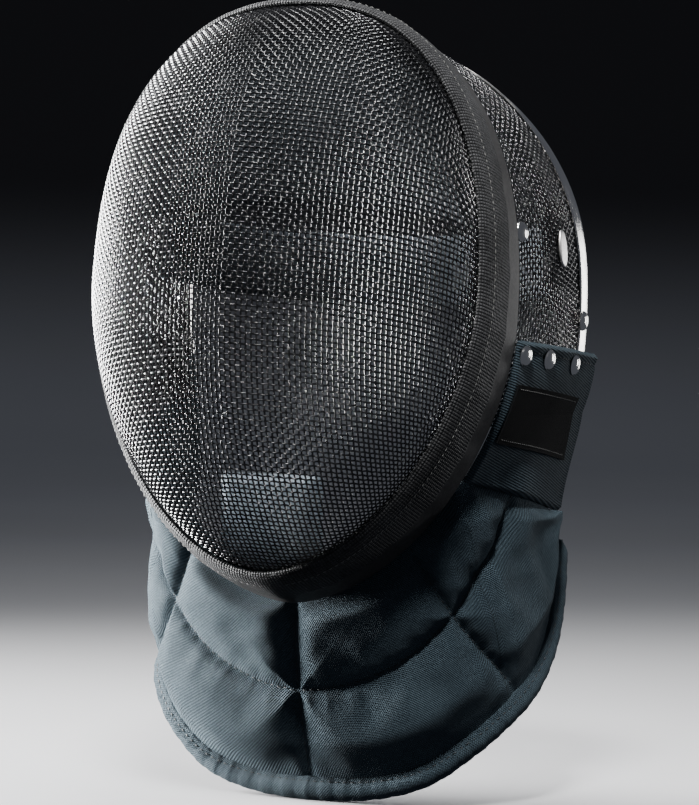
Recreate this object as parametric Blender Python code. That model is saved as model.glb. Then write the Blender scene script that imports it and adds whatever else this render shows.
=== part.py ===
"""Fencing mask, held as a head holds it.

Metres, +Z up. The face looks along -Y and the wearer's left is +X. The origin is
the seat of the head, on the inside of the crown. The shapes are worked out in two
steps: the rim and the dome in a face frame, centred in the rim's opening, which is
then leaned back and set down from the head seat.
"""

import math

import bmesh
import bpy
from mathutils import Matrix, Vector

# Attitude, and the seat of the head measured from the middle of the rim's opening.
FACE_LEAN = math.radians(16.5)
SEAT_BACK = 0.062
SEAT_UP = 0.128

# Rim: the opening that the trim's inner edge draws round the face.
RIM_HALF_WIDTH = 0.106
RIM_TOP = 0.147
RIM_CHIN = 0.1425
RIM_TOP_POWER = 2.34
RIM_CHIN_POWER = 1.78
RIM_SLOPE = 0.163
RIM_BOW = 0.0067

# Front mesh: the dome before the face, with a crease down its middle.
MESH_WALL = 0.002
DOME_DEPTH = 0.0805
DOME_TOP_POWER = 2.63
DOME_CHIN_POWER = 2.53
DOME_ROUND = 0.84
DOME_SIDE_POWER = 2.36
CREASE_SHARE = 0.18
FLANGE_DEPTH = 0.005

# Trim that binds the rim.
TRIM_PROUD = 0.0078
TRIM_DEPTH = 0.042
TRIM_WALL = 0.003
TRIM_LIP = 0.0022

# Rear mesh: over the crown and down both sides, as far as its rear edge.
REAR_HALF_WIDTH = 0.118
REAR_CROWN = 0.133
REAR_LOW = 0.150
REAR_POWER = 2.25
REAR_EDGE = 0.125
REAR_SWEEP_FROM = 0.045
REAR_SWEEP = 0.32
REAR_SWEEP_SOFT = 0.020
REAR_COVERED = 0.34
REAR_BULGE = 0.003
REAR_ANGLE = math.radians(113)

# Steel strip over the rear edge.
STRIP_WIDTH = 0.012
STRIP_WALL = 0.0012
STRIP_LAP = 0.005
STRIP_ANGLE = math.radians(104)

# Bib: two rows of padded lobes between the trim and the hem.
BIB_BACKING = 0.004
BIB_PUFF = 0.0075
BIB_BULGE = 0.006
BIB_DROP = 0.254
BIB_HALF_WIDTH = 0.112
BIB_REACH = 0.110
BIB_DIAGONAL = 0.47
BIB_ROW = 0.46
BIB_TURN = 0.60
BIB_TUCK = 0.08
BIB_RISE = 0.16
BIB_SEAT = 0.65
BIB_LIFT_FROM = 0.85
BIB_PAST_TRIM = 0.0042
BIB_FOLD = 0.003
BIB_AXIS = 0.75
BIB_SLACK = 1.9
BIB_SHORT = 3.0
HEM_RADIUS = 0.0062
HEM_AXIS = 0.9

# Side flaps: the upper ends of the bib, riveted over the sides of the mesh.
FLAP_WALL = 0.004
FLAP_TOP = -0.021
FLAP_BOTTOM = -0.0955
FLAP_FALL = 0.008
FLAP_REAR_FALL = 0.018
FLAP_OVERHANG = 0.014
FLAP_HANG = -0.060
FLAP_FREE = 0.45
FLAP_TAPER = 0.007
FLAP_TAPER_FROM = 0.3
FLAP_SWEEP = 1.6
FLAP_SET_IN = 0.002
FLAP_CLEAR = 0.0012

# Label on the wearer's left flap.
LABEL_WIDTH = 0.077
LABEL_HEIGHT = 0.032
LABEL_WALL = 0.0008
LABEL_DROP = 0.0235
LABEL_SET_BACK = 0.003

# Rivets and the oval discs that anchor the back strap.
RIVET_RADIUS = 0.0054
RIVET_RISE = 0.0028
RIVET_CLEAR = 0.0018
DISC_HALF_WIDTH = 0.0045
DISC_HALF_HEIGHT = 0.0098
DISC_WALL = 0.0014
DISC_UP = 0.027
DISC_BACK = 0.094
TRIM_RIVET_UP = 0.035
TRIM_RIVET_ANGLE = math.radians(76)
REAR_RIVET_UP = -0.011
FLAP_RIVET_DROP = 0.0075
FLAP_RIVETS = (0.055, 0.31, 0.66)

# Padding that shows through the mesh, and the strap behind the head.
PAD_WALL = 0.011
BROW_UP = 0.047
BROW_ARCH = 0.012
BROW_ANGLE = math.radians(74)
BROW_SET = 0.008
BROW_NARROW = 0.9
BROW_TUCK = 0.002
BROW_LEAST = 0.006
BROW_BULGE = 0.006
CHIN_PAD_HALF_WIDTH = 0.028
CHIN_PAD_LEAN = 0.009
CHIN_PAD_TOP = 0.092
STRAP_HEIGHT = 0.038
STRAP_WALL = 0.0025
STRAP_BACK = 0.152
STRAP_UP = 0.014
STRAP_LAP = 0.012
STRAP_ROUND = 0.8
STRAP_SET_IN = 0.001
STRAP_CLEAR = 0.00075

# Clearances: between solids that touch, under the trim's lining, and the steps by
# which a surface is probed for its slope.
GAP = 0.0003
LINING_CLEAR = 0.00045
PROBE = 0.004
PROBE_SHARE = 0.03

# The hem from the middle of the front to a rear corner. Across is a share of
# BIB_HALF_WIDTH, back a share of BIB_REACH and down a share of BIB_DROP.
HEM_SHAPE = (
    {"along": 0.00, "across": 0.00, "back": 0.40, "down": 1.00},
    {"along": 0.15, "across": 0.30, "back": 0.42, "down": 0.993},
    {"along": 0.30, "across": 0.55, "back": 0.44, "down": 0.963},
    {"along": 0.45, "across": 0.74, "back": 0.50, "down": 0.905},
    {"along": 0.56, "across": 0.87, "back": 0.595, "down": 0.848},
    {"along": 0.66, "across": 0.95, "back": 0.71, "down": 0.797},
    {"along": 0.77, "across": 0.98, "back": 0.865, "down": 0.74},
    {"along": 0.86, "across": 0.99, "back": 0.975, "down": 0.675},
    {"along": 0.93, "across": 1.00, "back": 1.00, "down": 0.594},
    {"along": 1.00, "across": 1.00, "back": 1.00, "down": 0.505},
)

# The trim's outer line from its lip on the face to its rear edge. Out is a share of
# TRIM_PROUD and back a share of TRIM_DEPTH.
TRIM_SHAPE = (
    {"out": 0.34, "back": -0.035},
    {"out": 0.66, "back": 0.07},
    {"out": 0.90, "back": 0.28},
    {"out": 1.00, "back": 0.62},
    {"out": 1.00, "back": 1.00},
)

# Heads of the rivets and discs, from the foot's rim to the top. Out is a share of the
# radius and up a share of the rise.
RIVET_SHAPE = (
    {"out": 1.00, "up": 0.00},
    {"out": 1.00, "up": 0.25},
    {"out": 0.72, "up": 0.78},
    {"out": 0.00, "up": 1.00},
)
DISC_SHAPE = (
    {"out": 1.00, "up": 0.00},
    {"out": 1.00, "up": 0.70},
    {"out": 0.90, "up": 1.00},
    {"out": 0.00, "up": 1.00},
)

MATERIALS = {
    "wire_mesh": {"color": (0.02, 0.02, 0.022), "roughness": 0.4, "metallic": 0.6},
    "trim": {"color": (0.035, 0.035, 0.037), "roughness": 0.8, "metallic": 0.0},
    "steel": {"color": (0.72, 0.71, 0.69), "roughness": 0.22, "metallic": 1.0},
    "bib_cloth": {"color": (0.022, 0.036, 0.044), "roughness": 0.85, "metallic": 0.0},
    "label": {"color": (0.012, 0.012, 0.013), "roughness": 0.7, "metallic": 0.0},
    "padding": {"color": (0.09, 0.11, 0.13), "roughness": 0.9, "metallic": 0.0},
    "chin_cloth": {"color": (0.42, 0.49, 0.56), "roughness": 0.9, "metallic": 0.0},
    "elastic": {"color": (0.30, 0.34, 0.39), "roughness": 0.85, "metallic": 0.0},
}


def clear_scene():
    for obj in list(bpy.data.objects):
        bpy.data.objects.remove(obj, do_unlink=True)


def make_material(name):
    look = MATERIALS[name]
    material = bpy.data.materials.new(name)
    material.use_nodes = True
    shader = material.node_tree.nodes["Principled BSDF"]
    shader.inputs["Base Color"].default_value = (*look["color"], 1.0)
    shader.inputs["Roughness"].default_value = look["roughness"]
    shader.inputs["Metallic"].default_value = look["metallic"]
    return material


def leaned(point):
    """A point of the face frame in the upright frame, still centred in the rim."""
    x, y, z = point
    c = math.cos(FACE_LEAN)
    s = math.sin(FACE_LEAN)
    return Vector((x, c * y + s * z, c * z - s * y))


def smooth_step(value):
    value = min(max(value, 0.0), 1.0)
    return value * value * (3 - 2 * value)


def signed(value):
    return math.copysign(1.0, value)


# Face frame: the rim, the dome and what follows the rim.


def rim_back(z):
    """How far back of the face frame's middle the rim lies at a height."""
    return -RIM_SLOPE * z - RIM_BOW * (z / RIM_TOP) ** 2


def rim_outline(angle, inset=0.0):
    """(x, z) on the rim, with the angle from the top towards +X, and its outward normal."""
    s = math.sin(angle)
    c = math.cos(angle)
    width = RIM_HALF_WIDTH - inset
    height = (RIM_TOP if c > 0 else RIM_CHIN) - inset
    power = RIM_TOP_POWER if c > 0 else RIM_CHIN_POWER
    reach = (abs(s) ** power + abs(c) ** power) ** (-1 / power)
    x = width * s * reach
    z = height * c * reach
    nx = signed(x) * abs(x) ** (power - 1) / width**power
    nz = signed(z) * abs(z) ** (power - 1) / height**power
    length = math.hypot(nx, nz)
    return x, z, nx / length, nz / length


def rim_section(angle, out, back):
    """The point that lies out from the rim and back of it, in the upright frame."""
    x, z, nx, nz = rim_outline(angle)
    return leaned((x + out * nx, rim_back(z) + back, z + out * nz))


def dome_depth(x, z, inset=0.0):
    """How far the dome stands before the rim at a point inside it."""
    top = z > 0
    height = (RIM_TOP if top else RIM_CHIN) - inset
    power = RIM_TOP_POWER if top else RIM_CHIN_POWER
    fall = DOME_TOP_POWER if top else DOME_CHIN_POWER
    share = min(abs(z) / height, 1.0)
    half = (RIM_HALF_WIDTH - inset) * (1 - share**power) ** (1 / power)
    across = min(abs(x) / half, 1.0) if half > 1e-6 else 1.0
    depth = (DOME_DEPTH - inset) * (1 - share**fall) ** DOME_ROUND
    return depth * math.sqrt(1 - across**DOME_SIDE_POWER) * (1 - CREASE_SHARE * across)


def dome_point(angle, share, inset=0.0):
    x, z, _, _ = rim_outline(angle, inset)
    if share >= 1.0:
        return leaned((x, rim_back(z), z))
    x *= share
    z *= share
    return leaned((x, rim_back(z) - dome_depth(x, z, inset), z))


def trim_bed():
    """How far out of the rim the trim's inner side lies at its rear edge."""
    return TRIM_PROUD - TRIM_WALL


def trim_lining(back):
    """How far out of the rim the trim's inner side lies at a place behind the rim."""
    share = (back - FLANGE_DEPTH) / (TRIM_DEPTH - FLANGE_DEPTH)
    return GAP + (trim_bed() - GAP) * min(share, 1.0)


def trim_angle(up):
    """The angle at which the trim's rear edge passes a height, below the rim's widest place."""
    first = math.radians(60)
    last = math.radians(180)
    for _ in range(40):
        middle = 0.5 * (first + last)
        if rim_section(middle, trim_bed(), TRIM_DEPTH).z > up:
            first = middle
        else:
            last = middle
    return first


# Upright frame: the rear mesh and what rides on it.


def rear_edge_back(z):
    """How far back the mesh reaches at a height."""
    above = z - REAR_SWEEP_FROM
    return REAR_EDGE - REAR_SWEEP * 0.5 * (above + math.hypot(above, REAR_SWEEP_SOFT))


def rear_edge(angle, out=0.0):
    """The rear edge of the mesh, with the angle from the crown towards +X."""
    s = math.sin(angle)
    c = math.cos(angle)
    height = REAR_CROWN if c > 0 else REAR_LOW
    reach = (abs(s) ** REAR_POWER + abs(c) ** REAR_POWER) ** (-1 / REAR_POWER)
    x = (REAR_HALF_WIDTH + out) * s * reach
    z = (height + out) * c * reach
    return Vector((x, rear_edge_back(z), z))


def rear_skin(angle, share):
    """The rear mesh's outer side: 0 at the rim, 1 at its rear edge."""
    start = rim_section(angle, 0.0, FLANGE_DEPTH + GAP)
    middle = rim_section(angle, trim_bed() - GAP, TRIM_DEPTH)
    end = rear_edge(angle)
    if share <= REAR_COVERED:
        return start.lerp(middle, share / REAR_COVERED)
    part = (share - REAR_COVERED) / (1 - REAR_COVERED)
    outward = Vector((end.x, 0.0, max(end.z, 0.0))).normalized()
    return middle.lerp(end, part) + outward * (REAR_BULGE * math.sin(math.pi * part))


def side_skin(back, up):
    """x of the rear mesh's outer side at a place behind the trim, found by bisection."""
    low = 0.0
    high = 1.0
    angle = math.radians(90)
    for _ in range(3):
        low = 0.0
        high = 1.0
        for _ in range(30):
            middle = 0.5 * (low + high)
            if rear_skin(angle, middle).y < back:
                low = middle
            else:
                high = middle
        turned = angle
        first = 0.0
        last = math.radians(150)
        for _ in range(30):
            turned = 0.5 * (first + last)
            if rear_skin(turned, low).z > up:
                first = turned
            else:
                last = turned
        angle = turned
    return rear_skin(angle, low).x


# Bodies built from grids of points.


def new_object(name, mesh, material):
    obj = bpy.data.objects.new(name, mesh)
    bpy.context.collection.objects.link(obj)
    obj.parent = FRAME
    mesh.materials.append(material)
    mesh.shade_smooth()
    mesh.set_sharp_from_angle(angle=math.radians(50))
    return obj


def mesh_from(name, points, faces):
    work = bmesh.new()
    corners = [work.verts.new(point) for point in points]
    for face in faces:
        work.faces.new([corners[i] for i in face])
    bmesh.ops.recalc_face_normals(work, faces=work.faces)
    if work.calc_volume(signed=True) < 0:
        bmesh.ops.reverse_faces(work, faces=work.faces)
    mesh = bpy.data.meshes.new(name)
    work.to_mesh(mesh)
    work.free()
    return mesh


def grid_normals(grid):
    """A normal at each point of a grid, by central differences."""
    rows = len(grid)
    columns = len(grid[0])
    normals = []
    for i in range(rows):
        line = []
        for j in range(columns):
            down = grid[min(i + 1, rows - 1)][j] - grid[max(i - 1, 0)][j]
            along = grid[i][min(j + 1, columns - 1)] - grid[i][max(j - 1, 0)]
            line.append(down.cross(along).normalized())
        normals.append(line)
    return normals


def closed_sheet(name, outer, inner, material):
    """A body between two grids of the same size, closed round its border."""
    rows = len(outer)
    columns = len(outer[0])
    points = [point for grid in (outer, inner) for line in grid for point in line]
    skip = rows * columns
    faces = []
    for i in range(rows - 1):
        for j in range(columns - 1):
            a = i * columns + j
            b = a + columns
            faces.append((a, a + 1, b + 1, b))
            faces.append((skip + a, skip + b, skip + b + 1, skip + a + 1))
    border = [(0, j) for j in range(columns)]
    border += [(i, columns - 1) for i in range(1, rows)]
    border += [(rows - 1, j) for j in range(columns - 2, -1, -1)]
    border += [(i, 0) for i in range(rows - 2, 0, -1)]
    for (i, j), (m, n) in zip(border, border[1:] + border[:1]):
        a = i * columns + j
        b = m * columns + n
        faces.append((a, skip + a, skip + b, b))
    return new_object(name, mesh_from(name, points, faces), material)


def thick_sheet(name, grid, wall, material, away_from):
    """A body whose outer side is the grid, with its wall turned towards a point."""
    normals = grid_normals(grid)
    middle = grid[len(grid) // 2][len(grid[0]) // 2]
    normal = normals[len(grid) // 2][len(grid[0]) // 2]
    turn = 1.0 if normal.dot(middle - away_from) > 0 else -1.0
    inner = [
        [point - normals[i][j] * (turn * wall) for j, point in enumerate(line)]
        for i, line in enumerate(grid)
    ]
    return closed_sheet(name, grid, inner, material)


def ring_loft(name, sections, material, closed=True):
    """A body through sections of equal length, joined end to end or capped."""
    count = len(sections)
    sides = len(sections[0])
    points = [point for section in sections for point in section]
    faces = []
    for i in range(count if closed else count - 1):
        a = i * sides
        b = ((i + 1) % count) * sides
        for j in range(sides):
            k = (j + 1) % sides
            faces.append((a + j, a + k, b + k, b + j))
    if not closed:
        faces.append(tuple(range(sides)))
        faces.append(tuple((count - 1) * sides + j for j in range(sides)))
    return new_object(name, mesh_from(name, points, faces), material)


def turned_head(name, at, outward, profile, sides, material, stretch=(1.0, 1.0)):
    """A head turned about its axis. The profile runs (radius, height) from rim to top."""
    upright = Vector((0.0, 0.0, 1.0))
    across = upright.cross(outward).normalized()
    up = outward.cross(across)
    points = []
    for radius, height in profile[:-1]:
        for k in range(sides):
            turn = 2 * math.pi * k / sides
            flat = across * (radius * stretch[0] * math.cos(turn))
            flat += up * (radius * stretch[1] * math.sin(turn))
            points.append(at + flat + outward * height)
    faces = [tuple(range(sides))]
    rings = len(profile) - 1
    for i in range(rings - 1):
        for k in range(sides):
            j = (k + 1) % sides
            faces.append((i * sides + k, i * sides + j, (i + 1) * sides + j, (i + 1) * sides + k))
    points.append(at + outward * profile[-1][1])
    top = len(points) - 1
    for k in range(sides):
        faces.append(((rings - 1) * sides + k, (rings - 1) * sides + (k + 1) % sides, top))
    return new_object(name, mesh_from(name, points, faces), material)


# Pieces.


def make_front_mesh(material):
    around = 56
    rings = 10
    outer = []
    inner = []
    for j in range(1, rings + 1):
        share = math.sin(0.5 * math.pi * j / rings)
        angles = [2 * math.pi * k / around for k in range(around)]
        outer.append([dome_point(a, share) for a in angles])
        inner.append([dome_point(a, share, MESH_WALL) for a in angles])
    back = []
    for grid_inset in (0.0, MESH_WALL):
        line = []
        for k in range(around):
            x, z, _, _ = rim_outline(2 * math.pi * k / around, grid_inset)
            line.append(leaned((x, rim_back(z) + FLANGE_DEPTH, z)))
        back.append(line)
    rows = outer + back + inner[::-1]
    points = [point for row in rows for point in row]
    faces = []
    for i in range(len(rows) - 1):
        for k in range(around):
            n = (k + 1) % around
            a = i * around
            faces.append((a + k, a + n, a + around + n, a + around + k))
    points.append(leaned((0.0, -DOME_DEPTH, 0.0)))
    points.append(leaned((0.0, MESH_WALL - DOME_DEPTH, 0.0)))
    last = (len(rows) - 1) * around
    for k in range(around):
        n = (k + 1) % around
        faces.append((k, n, len(points) - 2))
        faces.append((last + k, last + n, len(points) - 1))
    return new_object("front_mesh", mesh_from("front_mesh", points, faces), material)


def make_rear_mesh(material):
    around = 38
    covered = [REAR_COVERED * i / 2 for i in range(3)]
    shares = covered + [REAR_COVERED + (1 - REAR_COVERED) * i / 4 for i in range(1, 5)]
    grid = []
    for share in shares:
        line = []
        for k in range(around + 1):
            angle = REAR_ANGLE * (2 * k / around - 1)
            line.append(rear_skin(angle, share))
        grid.append(line)
    return thick_sheet("rear_mesh", grid, MESH_WALL, material, Vector((0.0, SEAT_BACK, 0.0)))


def make_rim_binding(material):
    around = 64
    outline = [(GAP, -TRIM_LIP)]
    outline += [(row["out"] * TRIM_PROUD, row["back"] * TRIM_DEPTH) for row in TRIM_SHAPE]
    outline += [(trim_bed(), TRIM_DEPTH), (GAP, FLANGE_DEPTH)]
    sections = []
    for k in range(around):
        angle = 2 * math.pi * k / around
        sections.append([rim_section(angle, out, back) for out, back in outline])
    return ring_loft("rim_binding", sections, material)


def make_rear_strip(material):
    around = 36
    sections = []
    for k in range(around + 1):
        angle = STRIP_ANGLE * (2 * k / around - 1)
        edge = rear_edge(angle)
        along = (edge - rear_skin(angle, 0.9)).normalized()
        outward = Vector((edge.x, 0.0, edge.z)).normalized()
        outward = (outward - along * outward.dot(along)).normalized()
        profile = (
            (-STRIP_LAP, GAP),
            (-STRIP_LAP, GAP + STRIP_WALL),
            (STRIP_WIDTH - STRIP_LAP - 0.5 * STRIP_WALL, GAP + STRIP_WALL),
            (STRIP_WIDTH - STRIP_LAP, GAP - 0.3 * STRIP_WALL),
            (STRIP_WIDTH - STRIP_LAP - STRIP_WALL, -MESH_WALL - STRIP_WALL),
            (GAP + STRIP_WALL, -MESH_WALL - STRIP_WALL),
            (GAP + STRIP_WALL, GAP),
        )
        sections.append([edge + along * a + outward * b for a, b in profile])
    return ring_loft("rear_strip", sections, material, closed=False)


def hem_point(along):
    """The upper edge of the hem, with along from -1 at the right rear to 1 at the left."""
    place = abs(along)
    rows = HEM_SHAPE
    index = 0
    while index < len(rows) - 2 and place > rows[index + 1]["along"]:
        index += 1
    first = rows[index]
    last = rows[index + 1]
    part = (place - first["along"]) / (last["along"] - first["along"])
    before = rows[index - 1] if index else dict(last, across=-last["across"])
    after = rows[min(index + 2, len(rows) - 1)]

    def through(key):
        a, b, c, d = (row[key] for row in (before, first, last, after))
        bend = (2 * a - 5 * b + 4 * c - d) * part**2 + (3 * b - a - 3 * c + d) * part**3
        return 0.5 * (2 * b + (c - a) * part + bend)

    x = signed(along) * through("across") * BIB_HALF_WIDTH
    return Vector((x, through("back") * BIB_REACH, -through("down") * BIB_DROP))


def bib_top(along):
    """Two points that the bib's outer side starts through: its top edge, and past the trim."""
    place = min(abs(along) / BIB_TURN, 1.0)
    turned = math.pi + (trim_angle(FLAP_BOTTOM - FLAP_CLEAR) - math.pi) * place
    covered = BIB_SEAT * TRIM_DEPTH
    lifted = smooth_step((place - BIB_LIFT_FROM) / (1 - BIB_LIFT_FROM))
    covered += (TRIM_DEPTH + 3 * GAP - covered) * lifted
    under = rim_section(turned, trim_lining(covered) - LINING_CLEAR, covered)
    behind = rim_section(turned, 0.5 * trim_bed(), TRIM_DEPTH + BIB_PAST_TRIM)
    if abs(along) > BIB_TURN:
        part = (abs(along) - BIB_TURN) / (1 - BIB_TURN)
        corner = hem_point(1.0)
        foot = FLAP_BOTTOM - FLAP_REAR_FALL - FLAP_CLEAR
        rear = Vector((corner.x, corner.y, foot))
        under = under.lerp(rear, smooth_step(2 * part)).lerp(rear, part)
        behind = behind.lerp(rear - Vector((0.0, 0.0, BIB_FOLD)), part)
        under.z = min(under.z, FLAP_BOTTOM - FLAP_REAR_FALL * part - FLAP_CLEAR)
        behind.z = min(behind.z, under.z - BIB_FOLD)
    under.x *= signed(along)
    behind.x *= signed(along)
    return under, behind


def quilt(along, part):
    """0 on the sewn lines of the bib and 1 at the middle of a lobe."""
    place = abs(along)
    if place < BIB_DIAGONAL:
        column = place / BIB_DIAGONAL
    else:
        column = (place - BIB_DIAGONAL) / (1 - BIB_DIAGONAL)
    line = BIB_ROW
    row = part / line if part < line else (part - line) / (1 - line)
    return math.sqrt(max(math.sin(math.pi * column) * math.sin(math.pi * row), 0.0))


def bib_point(along, down):
    """The bib's outer side: along from -1 to 1, and down from its top edge to its hem."""
    under, behind = bib_top(along)
    end = hem_point(along)
    if down <= BIB_TUCK:
        return under.lerp(behind, down / BIB_TUCK)
    part = (down - BIB_TUCK) / (1 - BIB_TUCK)
    middle = behind.lerp(end, 0.5)
    outward = Vector((middle.x, middle.y - BIB_AXIS * BIB_REACH, 0.0)).normalized()
    short = min(1.0, BIB_SHORT * (end - behind).length / BIB_DROP)
    bend = BIB_BULGE * (1 - BIB_SLACK * abs(along)) * 4 * part * (1 - part)
    puff = BIB_PUFF * quilt(along, part) * smooth_step(part / BIB_RISE)
    return behind.lerp(end, part) + outward * (short * (bend + puff))


def hem_frame(along):
    """The hem's upper edge, the way off the bib, and the way in."""
    edge = hem_point(along)
    after = hem_point(min(along + PROBE_SHARE / 3, 1.0))
    run = (after - hem_point(max(along - PROBE_SHARE / 3, -1.0))).normalized()
    inward = Vector((0.0, HEM_AXIS * BIB_REACH, edge.z)) - edge
    inward = (inward - run * inward.dot(run)).normalized()
    down = run.cross(inward)
    if down.dot(edge - Vector((0.0, 0.0, -0.5 * BIB_DROP))) < 0:
        down = -down
    return edge, down, inward


def make_bib(material):
    columns = 44
    rows = 13
    outer = []
    inner = []
    steps = [0.0, BIB_TUCK] + [BIB_TUCK + (1 - BIB_TUCK) * i / rows for i in range(1, rows + 1)]
    for down in steps:
        line = []
        lining = []
        for j in range(columns + 1):
            along = 2 * j / columns - 1
            point = bib_point(along, down)
            axis = Vector((0.0, HEM_AXIS * BIB_REACH, point.z))
            inward = (axis - point).normalized()
            if down == 1.0:
                inward = hem_frame(along)[2]
            line.append(point)
            lining.append(point + inward * BIB_BACKING)
        outer.append(line)
        inner.append(lining)
    return closed_sheet("bib", outer, inner, material)


def make_bib_hem(material):
    sides = 8
    steps = 60
    sections = []
    for k in range(steps + 1):
        edge, down, inward = hem_frame(2 * k / steps - 1)
        centre = edge + inward * (0.5 * BIB_BACKING) + down * (HEM_RADIUS + 2 * GAP)
        turns = [2 * math.pi * (m + 0.5) / sides for m in range(sides)]
        ring = [down * math.cos(turn) + inward * math.sin(turn) for turn in turns]
        sections.append([centre + way * HEM_RADIUS for way in ring])
    return ring_loft("bib_hem", sections, material, closed=False)


def flap_rear(down):
    """How far back the flap reaches, from its top to its foot."""
    top = REAR_EDGE + FLAP_OVERHANG
    foot = hem_point(1.0).y + 2 * HEM_RADIUS
    return top + (foot - top) * down**FLAP_SWEEP


def flap_point(back, down):
    """The flap's outer side, with both shares from 0 to 1."""
    edge = FLAP_TOP + (FLAP_BOTTOM - FLAP_TOP) * down
    front = rim_section(trim_angle(edge), trim_bed(), TRIM_DEPTH).y + FLAP_CLEAR
    y = front + (flap_rear(down) - front) * back
    top = FLAP_TOP - FLAP_FALL * back
    foot = FLAP_BOTTOM - FLAP_REAR_FALL * back
    z = top + (foot - top) * down
    reach = min(y, REAR_EDGE - FLAP_SET_IN)
    fallen = (FLAP_TOP - z) / (FLAP_TOP - FLAP_BOTTOM) - FLAP_TAPER_FROM
    hung = side_skin(reach, max(z, FLAP_HANG)) - FLAP_TAPER * smooth_step(fallen)
    close = side_skin(reach, z)
    x = close + (hung - close) * smooth_step(back / FLAP_FREE)
    return Vector((x + GAP + STRIP_WALL + FLAP_WALL + 2 * GAP, y, z))


def mirrored(grid):
    return [[Vector((-p.x, p.y, p.z)) for p in line] for line in grid]


def make_side_flaps(material):
    columns = 10
    rows = 7
    grid = [
        [flap_point(j / columns, i / rows) for j in range(columns + 1)] for i in range(rows + 1)
    ]
    inside = Vector((0.0, SEAT_BACK, FLAP_TOP))
    thick_sheet("side_flap_left", grid, FLAP_WALL, material, inside)
    thick_sheet("side_flap_right", mirrored(grid), FLAP_WALL, material, inside)


def flap_share(distance, down):
    """The share along the flap that lies a distance behind its front edge."""
    return distance / (flap_point(1.0, down) - flap_point(0.0, down)).length


def make_label(material):
    height = abs(flap_point(0.5, 1.0).z - flap_point(0.5, 0.0).z)
    first = LABEL_DROP / height
    last = (LABEL_DROP + LABEL_HEIGHT) / height
    columns = 5
    rows = 2
    grid = []
    for i in range(rows + 1):
        down = first + (last - first) * i / rows
        line = []
        for j in range(columns + 1):
            back = flap_share(LABEL_SET_BACK + LABEL_WIDTH * j / columns, down)
            line.append(flap_point(back, down))
        grid.append(line)
    normals = grid_normals(grid)
    turn = signed(normals[1][2].x)
    outer = [
        [p + normals[i][j] * (turn * (LABEL_WALL + 2 * GAP)) for j, p in enumerate(line)]
        for i, line in enumerate(grid)
    ]
    inner = [
        [p + normals[i][j] * (turn * 2 * GAP) for j, p in enumerate(line)]
        for i, line in enumerate(grid)
    ]
    return closed_sheet("label", outer, inner, material)


def surface_frame(at, forward, downward):
    """The outward normal at a place, from two neighbours on the same surface."""
    normal = (forward - at).cross(downward - at).normalized()
    return normal if normal.x > 0 else -normal


def pair(name, at, outward, profile, sides, material, stretch=(1.0, 1.0)):
    for side, mark in ((1.0, "left"), (-1.0, "right")):
        place = Vector((side * at.x, at.y, at.z))
        facing = Vector((side * outward.x, outward.y, outward.z))
        turned_head(f"{name}_{mark}", place, facing, profile, sides, material, stretch)


def make_fasteners(material):
    dome = [(row["out"] * RIVET_RADIUS, row["up"] * RIVET_RISE) for row in RIVET_SHAPE]

    def on_skin(back, up):
        at = Vector((side_skin(back, up), back, up))
        forward = Vector((side_skin(back - PROBE, up), back - PROBE, up))
        downward = Vector((side_skin(back, up - PROBE), back, up - PROBE))
        return at, surface_frame(at, forward, downward)

    trim_edge = rim_section(TRIM_RIVET_ANGLE, 0.0, TRIM_DEPTH)
    at, outward = on_skin(trim_edge.y + RIVET_RADIUS + RIVET_CLEAR, TRIM_RIVET_UP)
    pair("trim_rivet", at + outward * (2 * GAP), outward, dome, 12, material)

    at, outward = on_skin(REAR_EDGE - STRIP_LAP, REAR_RIVET_UP)
    pair("rear_rivet", at + outward * (STRIP_WALL + 3 * GAP), outward, dome, 12, material)

    at, outward = on_skin(DISC_BACK, DISC_UP)
    plate = [(row["out"], row["up"] * DISC_WALL) for row in DISC_SHAPE]
    size = (DISC_HALF_WIDTH, DISC_HALF_HEIGHT)
    pair("strap_disc", at + outward * (2 * GAP), outward, plate, 16, material, size)

    down = FLAP_RIVET_DROP / (FLAP_TOP - FLAP_BOTTOM)
    for number, back in enumerate(FLAP_RIVETS, start=1):
        at = flap_point(back, down)
        forward = flap_point(back - PROBE_SHARE, down)
        outward = surface_frame(at, forward, flap_point(back, down + PROBE_SHARE))
        pair(f"flap_rivet_{number}", at + outward * GAP, outward, dome, 12, material)


def make_forehead_pad(material):
    columns = 24
    rows = 5
    clear = MESH_WALL + 2 * GAP
    grid = []
    for i in range(rows + 1):
        share = i / rows
        line = []
        for j in range(columns + 1):
            angle = BROW_ANGLE * (2 * j / columns - 1)
            top = rim_section(angle, -clear, BROW_SET)
            brow_x = top.x * BROW_NARROW
            drop = BROW_ARCH * (brow_x / RIM_HALF_WIDTH) ** 2
            brow_up = min(BROW_UP - drop, top.z - BROW_LEAST)
            point = top.lerp(Vector((brow_x, top.y - BROW_TUCK, brow_up)), share)
            point.y -= BROW_BULGE * math.sin(math.pi * share)
            line.append(point)
        grid.append(line)
    deep = Vector((0.0, PAD_WALL, 0.0))
    middle = Vector((0.0, 0.0, BROW_UP))
    inner = []
    for i, line in enumerate(grid):
        draw_in = 0.5 * PAD_WALL * (1 - i / rows)
        inner.append([p + deep + (middle - p).normalized() * draw_in for p in line])
    return closed_sheet("forehead_pad", grid, inner, material)


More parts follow.
